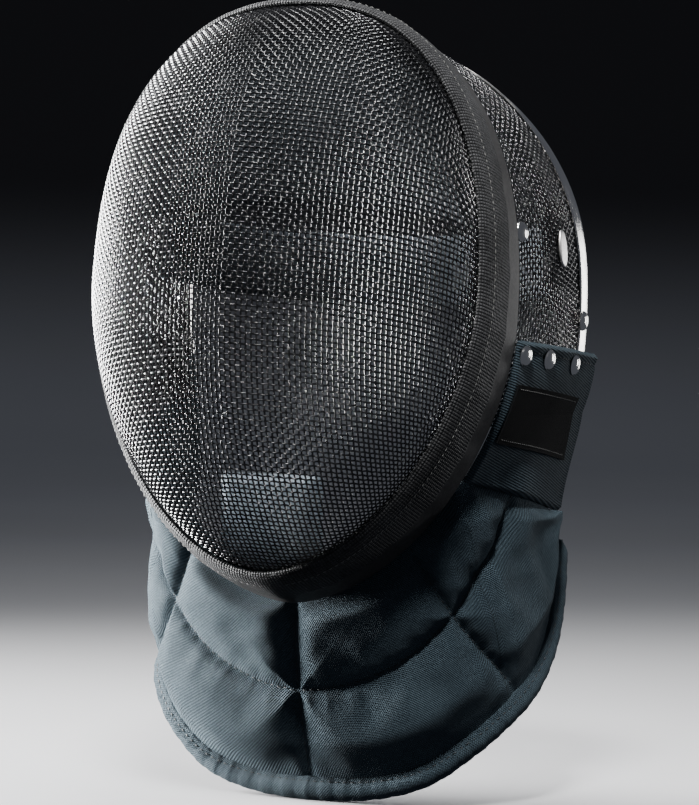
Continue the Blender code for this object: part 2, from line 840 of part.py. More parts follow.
def make_chin_pad(material):
    columns = 8
    rows = 5
    grid = []
    for i in range(rows + 1):
        share = i / rows
        line = []
        for j in range(columns + 1):
            x = CHIN_PAD_HALF_WIDTH * (2 * j / columns - 1)
            share_out = abs(x) / (RIM_HALF_WIDTH - MESH_WALL)
            foot = -(RIM_CHIN - 2 * GAP) * (1 - share_out**RIM_CHIN_POWER) ** (1 / RIM_CHIN_POWER)
            z = -CHIN_PAD_TOP + (foot + CHIN_PAD_TOP) * share
            y = rim_back(z) + FLANGE_DEPTH + 2 * GAP - CHIN_PAD_LEAN * (1 - share)
            line.append(leaned((x, y, z)))
        grid.append(line)
    deep = leaned((0.0, 1.0, 0.0)) * PAD_WALL
    inner = [[point + deep for point in line] for line in grid]
    return closed_sheet("chin_pad", grid, inner, material)


def make_back_strap(material):
    """The elastic from disc to disc behind the head, in a plain round sweep."""
    columns = 26
    anchor = side_skin(DISC_BACK, DISC_UP) - MESH_WALL - STRAP_CLEAR
    grid = []
    for share in (0.0, 1.0):
        line = []
        for j in range(columns + 1):
            place = 2 * j / columns - 1
            turn = place * math.radians(90)
            x = anchor * math.sin(turn)
            behind = STRAP_BACK - DISC_BACK + STRAP_LAP
            y = DISC_BACK - STRAP_LAP + behind * math.cos(turn) ** STRAP_ROUND
            up = DISC_UP + (STRAP_UP - DISC_UP) * math.cos(turn) + STRAP_HEIGHT * (0.5 - share)
            skin = side_skin(min(y, REAR_EDGE - STRAP_SET_IN), up) - MESH_WALL - STRAP_CLEAR
            line.append(Vector((signed(x) * min(abs(x), skin), y, up)))
        grid.append(line)
    return thick_sheet("back_strap", grid, STRAP_WALL, material, Vector((0.0, SEAT_BACK, 0.0)))


def main():
    looks = {name: make_material(name) for name in MATERIALS}
    make_front_mesh(looks["wire_mesh"])
    make_rear_mesh(looks["wire_mesh"])
    make_rim_binding(looks["trim"])
    make_rear_strip(looks["steel"])
    make_bib(looks["bib_cloth"])
    make_bib_hem(looks["bib_cloth"])
    make_side_flaps(looks["bib_cloth"])
    make_label(looks["label"])
    make_fasteners(looks["steel"])
    make_forehead_pad(looks["padding"])
    make_chin_pad(looks["chin_cloth"])
    make_back_strap(looks["elastic"])


clear_scene()
FRAME = bpy.data.objects.new("mask_frame", None)
bpy.context.collection.objects.link(FRAME)
FRAME.matrix_world = Matrix.Translation((0.0, -SEAT_BACK, -SEAT_UP))
main()
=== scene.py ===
"""Fencing mask: woven wire, bound rim, quilted bib and fittings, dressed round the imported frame.

Metres, +Z up. The face looks along -Y and the wearer's left is +X. The origin is the seat of
the head, on the inside of the crown.
"""

from __future__ import annotations

import logging
import math
from dataclasses import dataclass
from enum import Enum
from typing import Callable

import bpy
import numpy as np
from mathutils import Euler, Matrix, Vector
from mathutils.kdtree import KDTree

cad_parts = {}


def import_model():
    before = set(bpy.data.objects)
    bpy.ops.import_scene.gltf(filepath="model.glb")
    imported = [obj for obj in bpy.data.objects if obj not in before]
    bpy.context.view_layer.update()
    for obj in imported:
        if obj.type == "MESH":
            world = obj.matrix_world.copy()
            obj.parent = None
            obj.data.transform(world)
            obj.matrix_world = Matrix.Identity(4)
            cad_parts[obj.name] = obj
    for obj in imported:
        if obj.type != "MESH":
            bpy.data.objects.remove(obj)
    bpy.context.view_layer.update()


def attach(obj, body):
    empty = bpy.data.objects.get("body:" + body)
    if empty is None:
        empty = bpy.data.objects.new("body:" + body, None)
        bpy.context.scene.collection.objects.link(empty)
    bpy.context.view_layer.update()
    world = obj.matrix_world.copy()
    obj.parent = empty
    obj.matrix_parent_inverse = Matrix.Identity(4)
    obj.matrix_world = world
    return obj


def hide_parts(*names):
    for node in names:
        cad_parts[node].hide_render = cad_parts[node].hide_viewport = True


LOG = logging.getLogger("fencing_mask")
BODY = "root"
GAP = 0.0003

Array = np.ndarray
Socket = bpy.types.NodeSocket
Material = bpy.types.Material
Piece = bpy.types.Object

# The hem from the middle of the front to a rear corner: how far along, and its place as shares
# of the bib's half width, reach and drop.
HEM_SHAPE = (
    {"along": 0.00, "across": 0.00, "back": 0.40, "down": 1.00},
    {"along": 0.15, "across": 0.30, "back": 0.42, "down": 0.993},
    {"along": 0.30, "across": 0.55, "back": 0.44, "down": 0.963},
    {"along": 0.45, "across": 0.74, "back": 0.50, "down": 0.905},
    {"along": 0.56, "across": 0.87, "back": 0.595, "down": 0.848},
    {"along": 0.66, "across": 0.95, "back": 0.71, "down": 0.797},
    {"along": 0.77, "across": 0.98, "back": 0.865, "down": 0.74},
    {"along": 0.86, "across": 0.99, "back": 0.975, "down": 0.675},
    {"along": 0.93, "across": 1.00, "back": 1.00, "down": 0.594},
    {"along": 1.00, "across": 1.00, "back": 1.00, "down": 0.505},
)

# The sewn lines of the bib's left half, as (along, down) on the bib.
SEAM_LINES = {
    "middle": ((0.0, 0.09), (0.0, 0.35), (0.0, 0.70), (0.0, 1.0)),
    "slanting": ((0.395, 0.09), (0.43, 0.25), (0.46, 0.383), (0.49, 0.508), (0.54, 0.683),
                 (0.59, 0.842), (0.637, 1.0)),
    "level": ((0.0, 0.558), (0.085, 0.55), (0.17, 0.535), (0.265, 0.525), (0.375, 0.517),
              (0.49, 0.508)),
    "rising": ((0.49, 0.508), (0.575, 0.483), (0.675, 0.35), (0.76, 0.11), (0.79, 0.0)),
}


class Run(Enum):
    """The two sets of wires in a woven net."""

    UPRIGHT = "upright"
    LEVEL = "level"


class Side(Enum):
    """A side of the wearer, with the sign of its X."""

    LEFT = 1
    RIGHT = -1


def eased(value: Array | float) -> Array:
    """A smooth step from 0 to 1 over the same span of values."""
    value = np.clip(value, 0.0, 1.0)
    return value * value * (3 - 2 * value)


def unit(vectors: Array) -> Array:
    """Vectors scaled to a length of 1."""
    length = np.linalg.norm(vectors, axis=-1, keepdims=True)
    return vectors / np.maximum(length, 1e-12)


def bell(distance: Array, width: float) -> Array:
    """1 at a distance of 0, falling smoothly to nothing past the width."""
    return np.exp(-((distance / width) ** 2))


def grid_normals(grid: Array) -> Array:
    """A unit normal at each point of a grid of points.

    Args:
        grid: points as (rows, columns, 3).

    Returns:
        Normals of the same shape.
    """
    return unit(np.cross(np.gradient(grid, axis=0), np.gradient(grid, axis=1)))


def travelled(points: Array, axis: int) -> Array:
    """The length of the way along one axis of a grid, from its first point.

    Args:
        points: a grid of points.
        axis: the axis to go along.

    Returns:
        A length for each point.
    """
    step = np.linalg.norm(np.diff(points, axis=axis), axis=-1)
    start = np.zeros_like(np.take(step, [0], axis=axis))
    return np.concatenate([start, np.cumsum(step, axis=axis)], axis=axis)


def smoothed(grid: Array, times: int, wrap: bool = False) -> Array:
    """A grid with each value drawn towards its neighbours, with its border held.

    Args:
        grid: values as (rows, columns) or (rows, columns, n).
        times: how often.
        wrap: whether the columns close on themselves.

    Returns:
        The smoothed grid.
    """
    out = grid.copy()
    for _ in range(times):
        mean = out.copy()
        mean[1:-1, 1:-1] = 0.25 * (
            out[:-2, 1:-1] + out[2:, 1:-1] + out[1:-1, :-2] + out[1:-1, 2:]
        )
        if wrap:
            mean[:, 0] = mean[:, -1] = 0.5 * (out[:, 1] + out[:, -2])
        out = mean
    return out


@dataclass(frozen=True)
class MaskForm:
    """The mask's main form: the rim, the dome before it and the mesh behind it."""

    lean: float = math.radians(16.5)
    seat_back: float = 0.062
    seat_up: float = 0.128
    rim_half_width: float = 0.106
    rim_top: float = 0.147
    rim_chin: float = 0.1425
    rim_top_power: float = 2.34
    rim_chin_power: float = 1.78
    rim_slope: float = 0.163
    rim_bow: float = 0.0067
    dome_reach: float = 0.0805
    dome_top_power: float = 2.63
    dome_chin_power: float = 2.53
    dome_round: float = 0.84
    dome_side_power: float = 2.36
    crease_share: float = 0.18
    flange: float = 0.005
    trim_proud: float = 0.0078
    trim_back: float = 0.042
    trim_wall: float = 0.003
    trim_lip: float = 0.0022
    rear_half_width: float = 0.118
    rear_crown: float = 0.133
    rear_low: float = 0.150
    rear_power: float = 2.25
    rear_edge_back: float = 0.125
    rear_sweep_from: float = 0.045
    rear_sweep: float = 0.32
    rear_bulge: float = 0.003
    rear_angle: float = math.radians(113)
    strip_wall: float = 0.0012

    @property
    def trim_bed(self) -> float:
        """How far out of the rim the trim's inner side lies at its rear edge."""
        return self.trim_proud - self.trim_wall

    def upright(self, x: Array, y: Array, z: Array) -> Array:
        """Points of the leaning face frame, given in the frame of the head seat.

        Args:
            x: across.
            y: back.
            z: up.

        Returns:
            The points.
        """
        c, s = math.cos(self.lean), math.sin(self.lean)
        x, y, z = np.broadcast_arrays(x, y, z)
        return np.stack([x, c * y + s * z - self.seat_back, c * z - s * y - self.seat_up], -1)

    def rim(self, angle: Array, inset: float = 0.0) -> tuple[Array, Array, Array, Array]:
        """The rim's outline.

        Args:
            angle: from the top of the rim towards +X.
            inset: how far inside the rim.

        Returns:
            x and z on the outline, and x and z of its outward normal.
        """
        s, c = np.sin(angle), np.cos(angle)
        width = self.rim_half_width - inset
        height = np.where(c > 0, self.rim_top, self.rim_chin) - inset
        power = np.where(c > 0, self.rim_top_power, self.rim_chin_power)
        reach = (np.abs(s) ** power + np.abs(c) ** power) ** (-1 / power)
        x, z = width * s * reach, height * c * reach
        nx = np.sign(x) * np.abs(x) ** (power - 1) / width**power
        nz = np.sign(z) * np.abs(z) ** (power - 1) / height**power
        length = np.hypot(nx, nz)
        return x, z, nx / length, nz / length

    def rim_back(self, z: Array) -> Array:
        """How far back of the face frame's middle the rim lies at a height."""
        return -self.rim_slope * z - self.rim_bow * (z / self.rim_top) ** 2

    def by_rim(self, angle: Array, out: Array, back: Array) -> Array:
        """The point that lies out from the rim and back of it."""
        x, z, nx, nz = self.rim(angle)
        return self.upright(x + out * nx, self.rim_back(z) + back, z + out * nz)

    def dome(self, angle: Array, share: Array, inset: float = 0.0) -> Array:
        """Points of the dome, from its middle at share 0 to the rim at share 1.

        Args:
            angle: the angle round the rim.
            share: from the middle, 0, to the rim, 1.
            inset: how far inside the outer side.

        Returns:
            The points.
        """
        x, z, _, _ = self.rim(angle, inset)
        x, z = x * share, z * share
        top = z > 0
        height = np.where(top, self.rim_top, self.rim_chin) - inset
        power = np.where(top, self.rim_top_power, self.rim_chin_power)
        fall = np.where(top, self.dome_top_power, self.dome_chin_power)
        up = np.minimum(np.abs(z) / height, 1.0)
        half = (self.rim_half_width - inset) * (1 - up**power) ** (1 / power)
        across = np.where(half > 1e-6, np.minimum(np.abs(x) / np.maximum(half, 1e-6), 1.0), 1.0)
        deep = (self.dome_reach - inset) * (1 - up**fall) ** self.dome_round
        deep = deep * np.sqrt(1 - across**self.dome_side_power) * (1 - self.crease_share * across)
        return self.upright(x, self.rim_back(z) - deep, z)

    def centred(self, points: Array) -> Array:
        """Points of the head seat's frame, given from the middle of the rim."""
        return points + np.array([0.0, self.seat_back, self.seat_up])

    def rear_edge(self, angle: Array, out: float = 0.0) -> Array:
        """The rear edge of the mesh, with the angle from the crown towards +X.

        Args:
            angle: the angle from the crown.
            out: how far off the mesh.

        Returns:
            The points.
        """
        s, c = np.sin(angle), np.cos(angle)
        height = np.where(c > 0, self.rear_crown, self.rear_low)
        power = self.rear_power
        reach = (np.abs(s) ** power + np.abs(c) ** power) ** (-1 / power)
        x = (self.rear_half_width + out) * s * reach
        z = (height + out) * c * reach
        above = z - self.rear_sweep_from
        y = self.rear_edge_back - self.rear_sweep * 0.5 * (above + np.hypot(above, 0.02))
        return np.stack([x, y - self.seat_back, z - self.seat_up], -1)

    def rear_skin(self, angle: Array, share: Array) -> Array:
        """The rear mesh's outer side: 0 at the rim, 1 at its rear edge.

        Args:
            angle: the angle from the crown.
            share: from rim to rear edge.

        Returns:
            The points.
        """
        angle, share = np.broadcast_arrays(angle, share)
        under = 0.34
        start = self.by_rim(angle, 0.0, self.flange + GAP)
        middle = self.by_rim(angle, self.trim_bed - GAP, self.trim_back)
        end = self.rear_edge(angle)
        part = np.clip((share - under) / (1 - under), 0.0, 1.0)[..., None]
        covered = np.clip(share / under, 0.0, 1.0)[..., None]
        around = self.centred(end) * np.array([1.0, 0.0, 1.0])
        around[..., 2] = np.maximum(around[..., 2], 0.0)
        first = start + (middle - start) * covered
        bulge = unit(around) * (self.rear_bulge * np.sin(np.pi * part))
        return np.where(part > 0, middle + (end - middle) * part + bulge, first)

    def side_skin(self, back: Array, up: Array) -> Array:
        """x of the rear mesh's outer side.

        Args:
            back: y from the middle of the rim.
            up: z from the middle of the rim.

        Returns:
            x at each place.
        """
        back, up = np.broadcast_arrays(back, up)
        angle = np.full(back.shape, math.radians(90))
        share = np.full(back.shape, 0.5)
        for _ in range(3):
            low, high = np.zeros(back.shape), np.ones(back.shape)
            for _ in range(26):
                share = 0.5 * (low + high)
                before = self.centred(self.rear_skin(angle, share))[..., 1] < back
                low, high = np.where(before, share, low), np.where(before, high, share)
            first, last = np.zeros(back.shape), np.full(back.shape, math.radians(150))
            for _ in range(26):
                angle = 0.5 * (first + last)
                above = self.centred(self.rear_skin(angle, share))[..., 2] > up
                first, last = np.where(above, angle, first), np.where(above, last, angle)
        return self.rear_skin(angle, share)[..., 0]

    def trim_angle(self, up: Array) -> Array:
        """The angle at which the trim's rear edge passes a height, below its widest place.

        Args:
            up: the height.

        Returns:
            The angle.
        """
        up = np.asarray(up, float)
        first, last = np.full(up.shape, math.radians(60)), np.full(up.shape, math.radians(180))
        for _ in range(36):
            middle = 0.5 * (first + last)
            edge = self.centred(self.by_rim(middle, self.trim_bed, self.trim_back))
            above = edge[..., 2] > up
            first, last = np.where(above, middle, first), np.where(above, last, middle)
        return first


class NodeBoard:
    """A node tree with short ways to place and join nodes."""

    def __init__(self, tree: bpy.types.NodeTree) -> None:
        """Works on a tree."""
        self.tree = tree

    def node(self, kind: str, **settings: object) -> bpy.types.Node:
        """Adds a node and sets its properties by name.

        Args:
            kind: the node's type.
            settings: its properties.

        Returns:
            The node.
        """
        made = self.tree.nodes.new(kind)
        for name, value in settings.items():
            setattr(made, name, value)
        return made

    def join(self, source: Socket, target: Socket) -> None:
        """Links one socket to another."""
        self.tree.links.new(source, target)

    def feed(self, target: Socket, value: object) -> None:
        """Links a socket's output to the target, or sets a plain value there.

        Args:
            target: the input.
            value: a socket or a plain value.
        """
        if isinstance(value, bpy.types.NodeSocket):
            self.join(value, target)
        elif isinstance(value, (tuple, list)) and len(value) == 3 and target.type == "RGBA":
            target.default_value = (*value, 1.0)
        else:
            target.default_value = value

    def math(self, operation: str, first: object, second: object = 0.0, clamp: bool = False) -> Socket:
        """One step of arithmetic.

        Args:
            operation: the Math node's operation.
            first: a value or a socket.
            second: a value or a socket.
            clamp: whether the result is held between 0 and 1.

        Returns:
            The result's socket.
        """
        made = self.node("ShaderNodeMath", operation=operation, use_clamp=clamp)
        self.feed(made.inputs[0], first)
        self.feed(made.inputs[1], second)
        return made.outputs[0]

    def span(self, value: Socket, low: float, high: float, to_low: float, to_high: float) -> Socket:
        """A value moved smoothly from one span to another.

        Args:
            value: the input.
            low: its low end.
            high: its high end.
            to_low: the value at the low end.
            to_high: the value at the high end.

        Returns:
            The output socket.
        """
        made = self.node("ShaderNodeMapRange", interpolation_type="SMOOTHSTEP")
        for slot, number in zip(made.inputs[1:5], (low, high, to_low, to_high)):
            slot.default_value = number
        self.feed(made.inputs[0], value)
        return made.outputs[0]

    def mix(self, share: object, first: object, second: object, blend: str = "MIX") -> Socket:
        """A mix of two colours.

        Args:
            share: how much of the second.
            first: a colour.
            second: a colour.
            blend: the way they mix.

        Returns:
            The output socket.
        """
        made = self.node("ShaderNodeMix", data_type="RGBA", blend_type=blend)
        self.feed(made.inputs["Factor"], share)
        self.feed(made.inputs["A"], first)
        self.feed(made.inputs["B"], second)
        return made.outputs["Result"]

    def noise(self, place: Socket, scale: float, detail: float = 3.0, rough: float = 0.5) -> Socket:
        """Noise from 0 to 1 at a place.

        Args:
            place: where it is read.
            scale: its fineness.
            detail: its depth.
            rough: its roughness.

        Returns:
            The output socket.
        """
        made = self.node("ShaderNodeTexNoise")
        made.inputs["Scale"].default_value = scale
        made.inputs["Detail"].default_value = detail
        made.inputs["Roughness"].default_value = rough
        self.join(place, made.inputs["Vector"])
        return made.outputs["Fac"]

    def cloth_place(self) -> Socket:
        """The place on the cloth, in metres along it and across it."""
        return self.node("ShaderNodeAttribute", attribute_name="cloth").outputs["Vector"]

    def place(self) -> Socket:
        """The place on the piece, in metres."""
        return self.node("ShaderNodeTexCoord").outputs["Object"]


def new_group(name: str, inputs: dict[str, tuple[str, object]], outputs: dict[str, str]) -> NodeBoard:
    """A shader node group with named sockets.

    Args:
        name: the group's name.
        inputs: socket kind and default value by name.
        outputs: socket kind by name.

    Returns:
        The board of the group's tree, whose first nodes are its input and its output.
    """
    tree = bpy.data.node_groups.new(name, "ShaderNodeTree")
    for label, (kind, value) in inputs.items():
        made = tree.interface.new_socket(label, in_out="INPUT", socket_type=kind)
        if value is not None:
            made.default_value = value
    for label, kind in outputs.items():
        tree.interface.new_socket(label, in_out="OUTPUT", socket_type=kind)
    tree.nodes.new("NodeGroupInput")
    tree.nodes.new("NodeGroupOutput")
    return NodeBoard(tree)


class ClothGroups:
    """The shader node groups that several finishes share."""

    def __init__(self) -> None:
        """Builds each group once."""
        self.ribs = self._ribs()
        self.threads = self._threads()
        self.tone = self._tone()
        self.fuzz = self._fuzz()
        self.scuffs = self._scuffs()

    @staticmethod
    def _ribs() -> bpy.types.NodeTree:
        """Twill: slanting ribs that the yarns cross in short steps.

        Returns:
            The group.
        """
        board = new_group(
            "twill_ribs",
            {
                "Place": ("NodeSocketVector", None),
                "Rib Pitch": ("NodeSocketFloat", 0.0013),
                "Slant": ("NodeSocketFloat", 0.7),
                "Waver": ("NodeSocketFloat", 0.25),
                "Beads": ("NodeSocketFloat", 0.22),
            },
            {"Height": "NodeSocketFloat", "Valley": "NodeSocketFloat"},
        )
        given, put = board.tree.nodes[0].outputs, board.tree.nodes[1].inputs
        split = board.node("ShaderNodeSeparateXYZ")
        board.join(given["Place"], split.inputs[0])
        along, across = split.outputs[0], split.outputs[1]
        wander = board.math("SUBTRACT", board.noise(given["Place"], 260.0, 2.0), 0.5)
        lean = board.math("ADD", along, board.math("MULTIPLY", across, given["Slant"]))
        turns = board.math("DIVIDE", lean, given["Rib Pitch"])
        turns = board.math("ADD", turns, board.math("MULTIPLY", wander, given["Waver"]))
        ridge = board.math("SINE", board.math("MULTIPLY", turns, 2 * math.pi))
        counter = board.math("SUBTRACT", across, board.math("MULTIPLY", along, given["Slant"]))
        steps = board.math("DIVIDE", counter, board.math("MULTIPLY", given["Rib Pitch"], 0.8))
        steps = board.math("ADD", steps, board.math("MULTIPLY", turns, 0.5))
        bead = board.math("SINE", board.math("MULTIPLY", steps, 2 * math.pi))
        rise = board.math("MULTIPLY", ridge, board.math("SUBTRACT", 0.52, given["Beads"]))
        high = board.math("ADD", rise, 0.5)
        both = board.math("ADD", high, board.math("MULTIPLY", bead, given["Beads"]), clamp=True)
        board.join(both, put["Height"])
        # this output marks the rib valleys, where painted shade darkens the colour
        board.join(board.span(both, 0.1, 0.55, 1.0, 0.0), put["Valley"])
        return board.tree

    @staticmethod
    def _threads() -> bpy.types.NodeTree:
        """Plain weave: threads that pass over and under each other in a chequer.

        Returns:
            The group.
        """
        board = new_group(
            "plain_threads",
            {"Place": ("NodeSocketVector", None), "Thread Pitch": ("NodeSocketFloat", 0.001)},
            {"Height": "NodeSocketFloat", "Valley": "NodeSocketFloat"},
        )
        given, put = board.tree.nodes[0].outputs, board.tree.nodes[1].inputs
        split = board.node("ShaderNodeSeparateXYZ")
        board.join(given["Place"], split.inputs[0])
        waves = []
        for axis in (0, 1):
            turns = board.math("DIVIDE", split.outputs[axis], given["Thread Pitch"])
            waves.append(board.math("SINE", board.math("MULTIPLY", turns, math.pi)))
        crossing = board.math("MULTIPLY", waves[0], waves[1])
        lumps = board.math("ABSOLUTE", crossing)
        high = board.math("POWER", lumps, 0.6, clamp=True)
        board.join(high, put["Height"])
        # this output marks the gaps between threads, where painted shade darkens the colour
        board.join(board.span(high, 0.05, 0.6, 1.0, 0.0), put["Valley"])
        return board.tree

    @staticmethod
    def _tone() -> bpy.types.NodeTree:
        """Slow change of colour over a piece, as dye and handling leave it, with painted shade darkening
        the weave's valleys.

        Returns:
            The group.
        """
        board = new_group(
            "uneven_tone",
            {
                "Place": ("NodeSocketVector", None),
                "Dark": ("NodeSocketColor", (0.1, 0.1, 0.1, 1.0)),
                "Light": ("NodeSocketColor", (0.2, 0.2, 0.2, 1.0)),
                "Valley": ("NodeSocketFloat", 0.0),
            },
            {"Color": "NodeSocketColor"},
        )
        given, put = board.tree.nodes[0].outputs, board.tree.nodes[1].inputs
        broad = board.noise(given["Place"], 14.0, 4.0, 0.6)
        fine = board.noise(given["Place"], 520.0, 3.0, 0.7)
        share = board.math("ADD", board.math("MULTIPLY", broad, 0.6), board.math("MULTIPLY", fine, 0.5))
        base = board.mix(board.span(share, 0.3, 0.8, 0.0, 1.0), given["Dark"], given["Light"])
        # painted shade: the weave's valleys are darkened towards near black
        shade = board.math("MULTIPLY", given["Valley"], 0.72)
        board.join(board.mix(shade, base, (0.004, 0.005, 0.006)), put["Color"])
        return board.tree

    @staticmethod
    def _fuzz() -> bpy.types.NodeTree:
        """Loose fibres that stand off a cloth, as fine pale flecks and a small height.

        Returns:
            The group.
        """
        board = new_group(
            "loose_fibres",
            {"Place": ("NodeSocketVector", None), "Fineness": ("NodeSocketFloat", 1.0)},
            {"Height": "NodeSocketFloat", "Flecks": "NodeSocketFloat"},
        )
        given, put = board.tree.nodes[0].outputs, board.tree.nodes[1].inputs
        scaled = board.node("ShaderNodeVectorMath", operation="SCALE")
        board.join(given["Place"], scaled.inputs[0])
        board.join(given["Fineness"], scaled.inputs["Scale"])
        grit = board.noise(scaled.outputs[0], 1900.0, 2.0, 0.6)
        board.join(grit, put["Height"])
        board.join(board.span(grit, 0.62, 0.75, 0.0, 1.0), put["Flecks"])
        return board.tree

    @staticmethod
    def _scuffs() -> bpy.types.NodeTree:
        """Handling marks on metal: a cloudy film and fine scratches.

        Returns:
            The group.
        """
        board = new_group(
            "metal_scuffs",
            {"Place": ("NodeSocketVector", None), "Smooth": ("NodeSocketFloat", 0.15)},
            {"Roughness": "NodeSocketFloat", "Height": "NodeSocketFloat", "Film": "NodeSocketFloat"},
        )
        given, put = board.tree.nodes[0].outputs, board.tree.nodes[1].inputs
        cloud = board.noise(given["Place"], 60.0, 5.0, 0.65)
        stretched = board.node("ShaderNodeMapping")
        stretched.inputs["Scale"].default_value = (1.0, 1.0, 16.0)
        board.join(given["Place"], stretched.inputs["Vector"])
        lines = board.noise(stretched.outputs[0], 420.0, 3.0, 0.7)
        film = board.span(cloud, 0.45, 0.75, 0.0, 1.0)
        rough = board.math("ADD", given["Smooth"], board.math("MULTIPLY", film, 0.16))
        rough = board.math("ADD", rough, board.math("MULTIPLY", lines, 0.08))
        board.join(rough, put["Roughness"])
        board.join(lines, put["Height"])
        board.join(film, put["Film"])
        return board.tree


class Dressing:
    """A material in the making: its board, its shader and the shared groups."""

    def __init__(self, name: str, groups: ClothGroups) -> None:
        """Starts a material with a Principled shader.

        Args:
            name: the material's name.
            groups: the shared groups.
        """
        self.material = bpy.data.materials.new(name)
        self.material.use_nodes = True
        self.board = NodeBoard(self.material.node_tree)
        self.shader = self.material.node_tree.nodes["Principled BSDF"]
        self.groups = groups

    def group(self, tree: bpy.types.NodeTree, **values: object) -> bpy.types.Node:
        """Places a shared group, with its inputs by name and underscores for spaces.

        Args:
            tree: the group.
            values: its inputs.

        Returns:
            The node.
        """
        made = self.board.node("ShaderNodeGroup", node_tree=tree)
        for name, value in values.items():
            self.board.feed(made.inputs[name.replace("_", " ")], value)
        return made

    def set(self, **values: object) -> None:
        """Sets or feeds the shader's own sockets, with underscores for spaces."""
        for name, value in values.items():
            self.board.feed(self.shader.inputs[name.replace("_", " ")], value)

    def bump(self, *layers: tuple[Socket, float]) -> None:
        """Feeds the normal from heights, each with its depth in metres."""
        normal = None
        for height, depth in layers:
            made = self.board.node("ShaderNodeBump")
            made.inputs["Distance"].default_value = depth
            self.board.join(height, made.inputs["Height"])
            if normal is not None:
                self.board.join(normal, made.inputs["Normal"])
            normal = made.outputs[0]
        self.board.join(normal, self.shader.inputs["Normal"])


@dataclass(frozen=True)
class EnamelledWire:
    """Black enamel over steel wire, rubbed pale here and there on its crowns."""

    color: tuple[float, float, float] = (0.022, 0.022, 0.024)
    worn: tuple[float, float, float] = (0.12, 0.118, 0.115)

    def build(self, name: str, groups: ClothGroups) -> Material:
        """Makes the material.

        Args:
            name: the material's name.
            groups: the shared shader groups.

        Returns:
            The material.
        """
        dress = Dressing(name, groups)
        board = dress.board
        place = board.place()
        scuff = dress.group(groups.scuffs, Place=place, Smooth=0.20)
        rub = board.span(board.noise(place, 330.0, 2.0), 0.52, 0.70, 0.0, 0.6)
        dress.set(
            Base_Color=board.mix(rub, self.color, self.worn),
            Roughness=scuff.outputs["Roughness"],
            Metallic=0.8,
            Coat_Weight=0.8,
            Coat_Roughness=0.18,
        )
        dress.bump((scuff.outputs["Height"], 0.00002))
        return dress.material


@dataclass(frozen=True)
class TwillCloth:
    """The bib's ribbed twill."""

    dark: tuple[float, float, float] = (0.044, 0.070, 0.090)
    light: tuple[float, float, float] = (0.105, 0.150, 0.178)
    pitch: float = 0.0014
    slant: float = 0.8
    beads: float = 0.27
    depth: float = 0.0012
    sheen: float = 0.05

    def build(self, name: str, groups: ClothGroups) -> Material:
        """Makes the material.

        Args:
            name: the material's name.
            groups: the shared shader groups.

        Returns:
            The material.
        """
        dress = Dressing(name, groups)
        board = dress.board
        cloth = board.cloth_place()
        ribs = dress.group(
            groups.ribs, Place=cloth, Rib_Pitch=self.pitch, Slant=self.slant, Waver=0.22,
            Beads=self.beads,
        )
        fuzz = dress.group(groups.fuzz, Place=board.place(), Fineness=1.0)
        # the tone darkens the rib valleys with painted shade
        tone = dress.group(
            groups.tone,
            Place=board.place(),
            Dark=self.dark,
            Light=self.light,
            Valley=ribs.outputs["Valley"],
        )
        flecked = board.mix(
            board.math("MULTIPLY", fuzz.outputs["Flecks"], 0.25),
            tone.outputs["Color"],
            (0.16, 0.20, 0.22),
        )
        dress.set(
            Base_Color=flecked,
            Roughness=0.8,
            Specular_IOR_Level=0.15,
            Sheen_Weight=self.sheen,
            Sheen_Roughness=0.45,
            Sheen_Tint=(0.62, 0.75, 0.82),
        )
        dress.bump((ribs.outputs["Height"], self.depth), (fuzz.outputs["Height"], 0.00006))
        return dress.material


@dataclass(frozen=True)
class BindingTape:
    """The rim's black tape: an open weave in front, and a smooth knitted band behind."""

    dark: tuple[float, float, float] = (0.004, 0.004, 0.0045)
    light: tuple[float, float, float] = (0.098, 0.098, 0.100)

    def build(self, name: str, groups: ClothGroups) -> Material:
        """Makes the material.

        Args:
            name: the material's name.
            groups: the shared shader groups.

        Returns:
            The material.
        """
        dress = Dressing(name, groups)
        board = dress.board
        cloth = board.cloth_place()
        threads = dress.group(groups.threads, Place=cloth, Thread_Pitch=0.0017)
        fuzz = dress.group(groups.fuzz, Place=board.place(), Fineness=0.8)
        split = board.node("ShaderNodeSeparateXYZ")
        board.join(cloth, split.inputs[0])
        knit = board.span(split.outputs[2], 0.56, 0.62, 0.0, 1.0)
        # painted shade in the open weave's valleys, none on the knitted band
        valley_shade = board.math("MULTIPLY", threads.outputs["Valley"], board.math("SUBTRACT", 1.0, knit))
        tone = dress.group(
            groups.tone, Place=board.place(), Dark=self.dark, Light=self.light, Valley=valley_shade
        )
        greyer = board.mix(
            board.math("MULTIPLY", knit, 0.55), tone.outputs["Color"], (0.026, 0.024, 0.023)
        )
        flecked = board.mix(
            board.math("MULTIPLY", fuzz.outputs["Flecks"], 0.16), greyer, (0.11, 0.11, 0.11)
        )
        dress.set(
            Base_Color=flecked,
            Roughness=0.55,
            Specular_IOR_Level=0.16,
        )
        rise = board.math("MULTIPLY", threads.outputs["Height"], board.math("SUBTRACT", 1.0, knit))
        dress.bump((rise, 0.0009), (fuzz.outputs["Height"], 0.00010))
        return dress.material


@dataclass(frozen=True)
class BrightSteel:
    """Polished steel, faintly clouded and scratched."""

    color: tuple[float, float, float] = (0.78, 0.765, 0.74)
    smooth: float = 0.10

    def build(self, name: str, groups: ClothGroups) -> Material:
        """Makes the material.

        Args:
            name: the material's name.
            groups: the shared shader groups.

        Returns:
            The material.
        """
        dress = Dressing(name, groups)
        board = dress.board
        scuff = dress.group(groups.scuffs, Place=board.place(), Smooth=self.smooth)
        color = board.mix(
            board.math("MULTIPLY", scuff.outputs["Film"], 0.3), self.color, (0.52, 0.50, 0.47)
        )
        dress.set(Base_Color=color, Roughness=scuff.outputs["Roughness"], Metallic=1.0)
        dress.bump((scuff.outputs["Height"], 0.00002))
        return dress.material


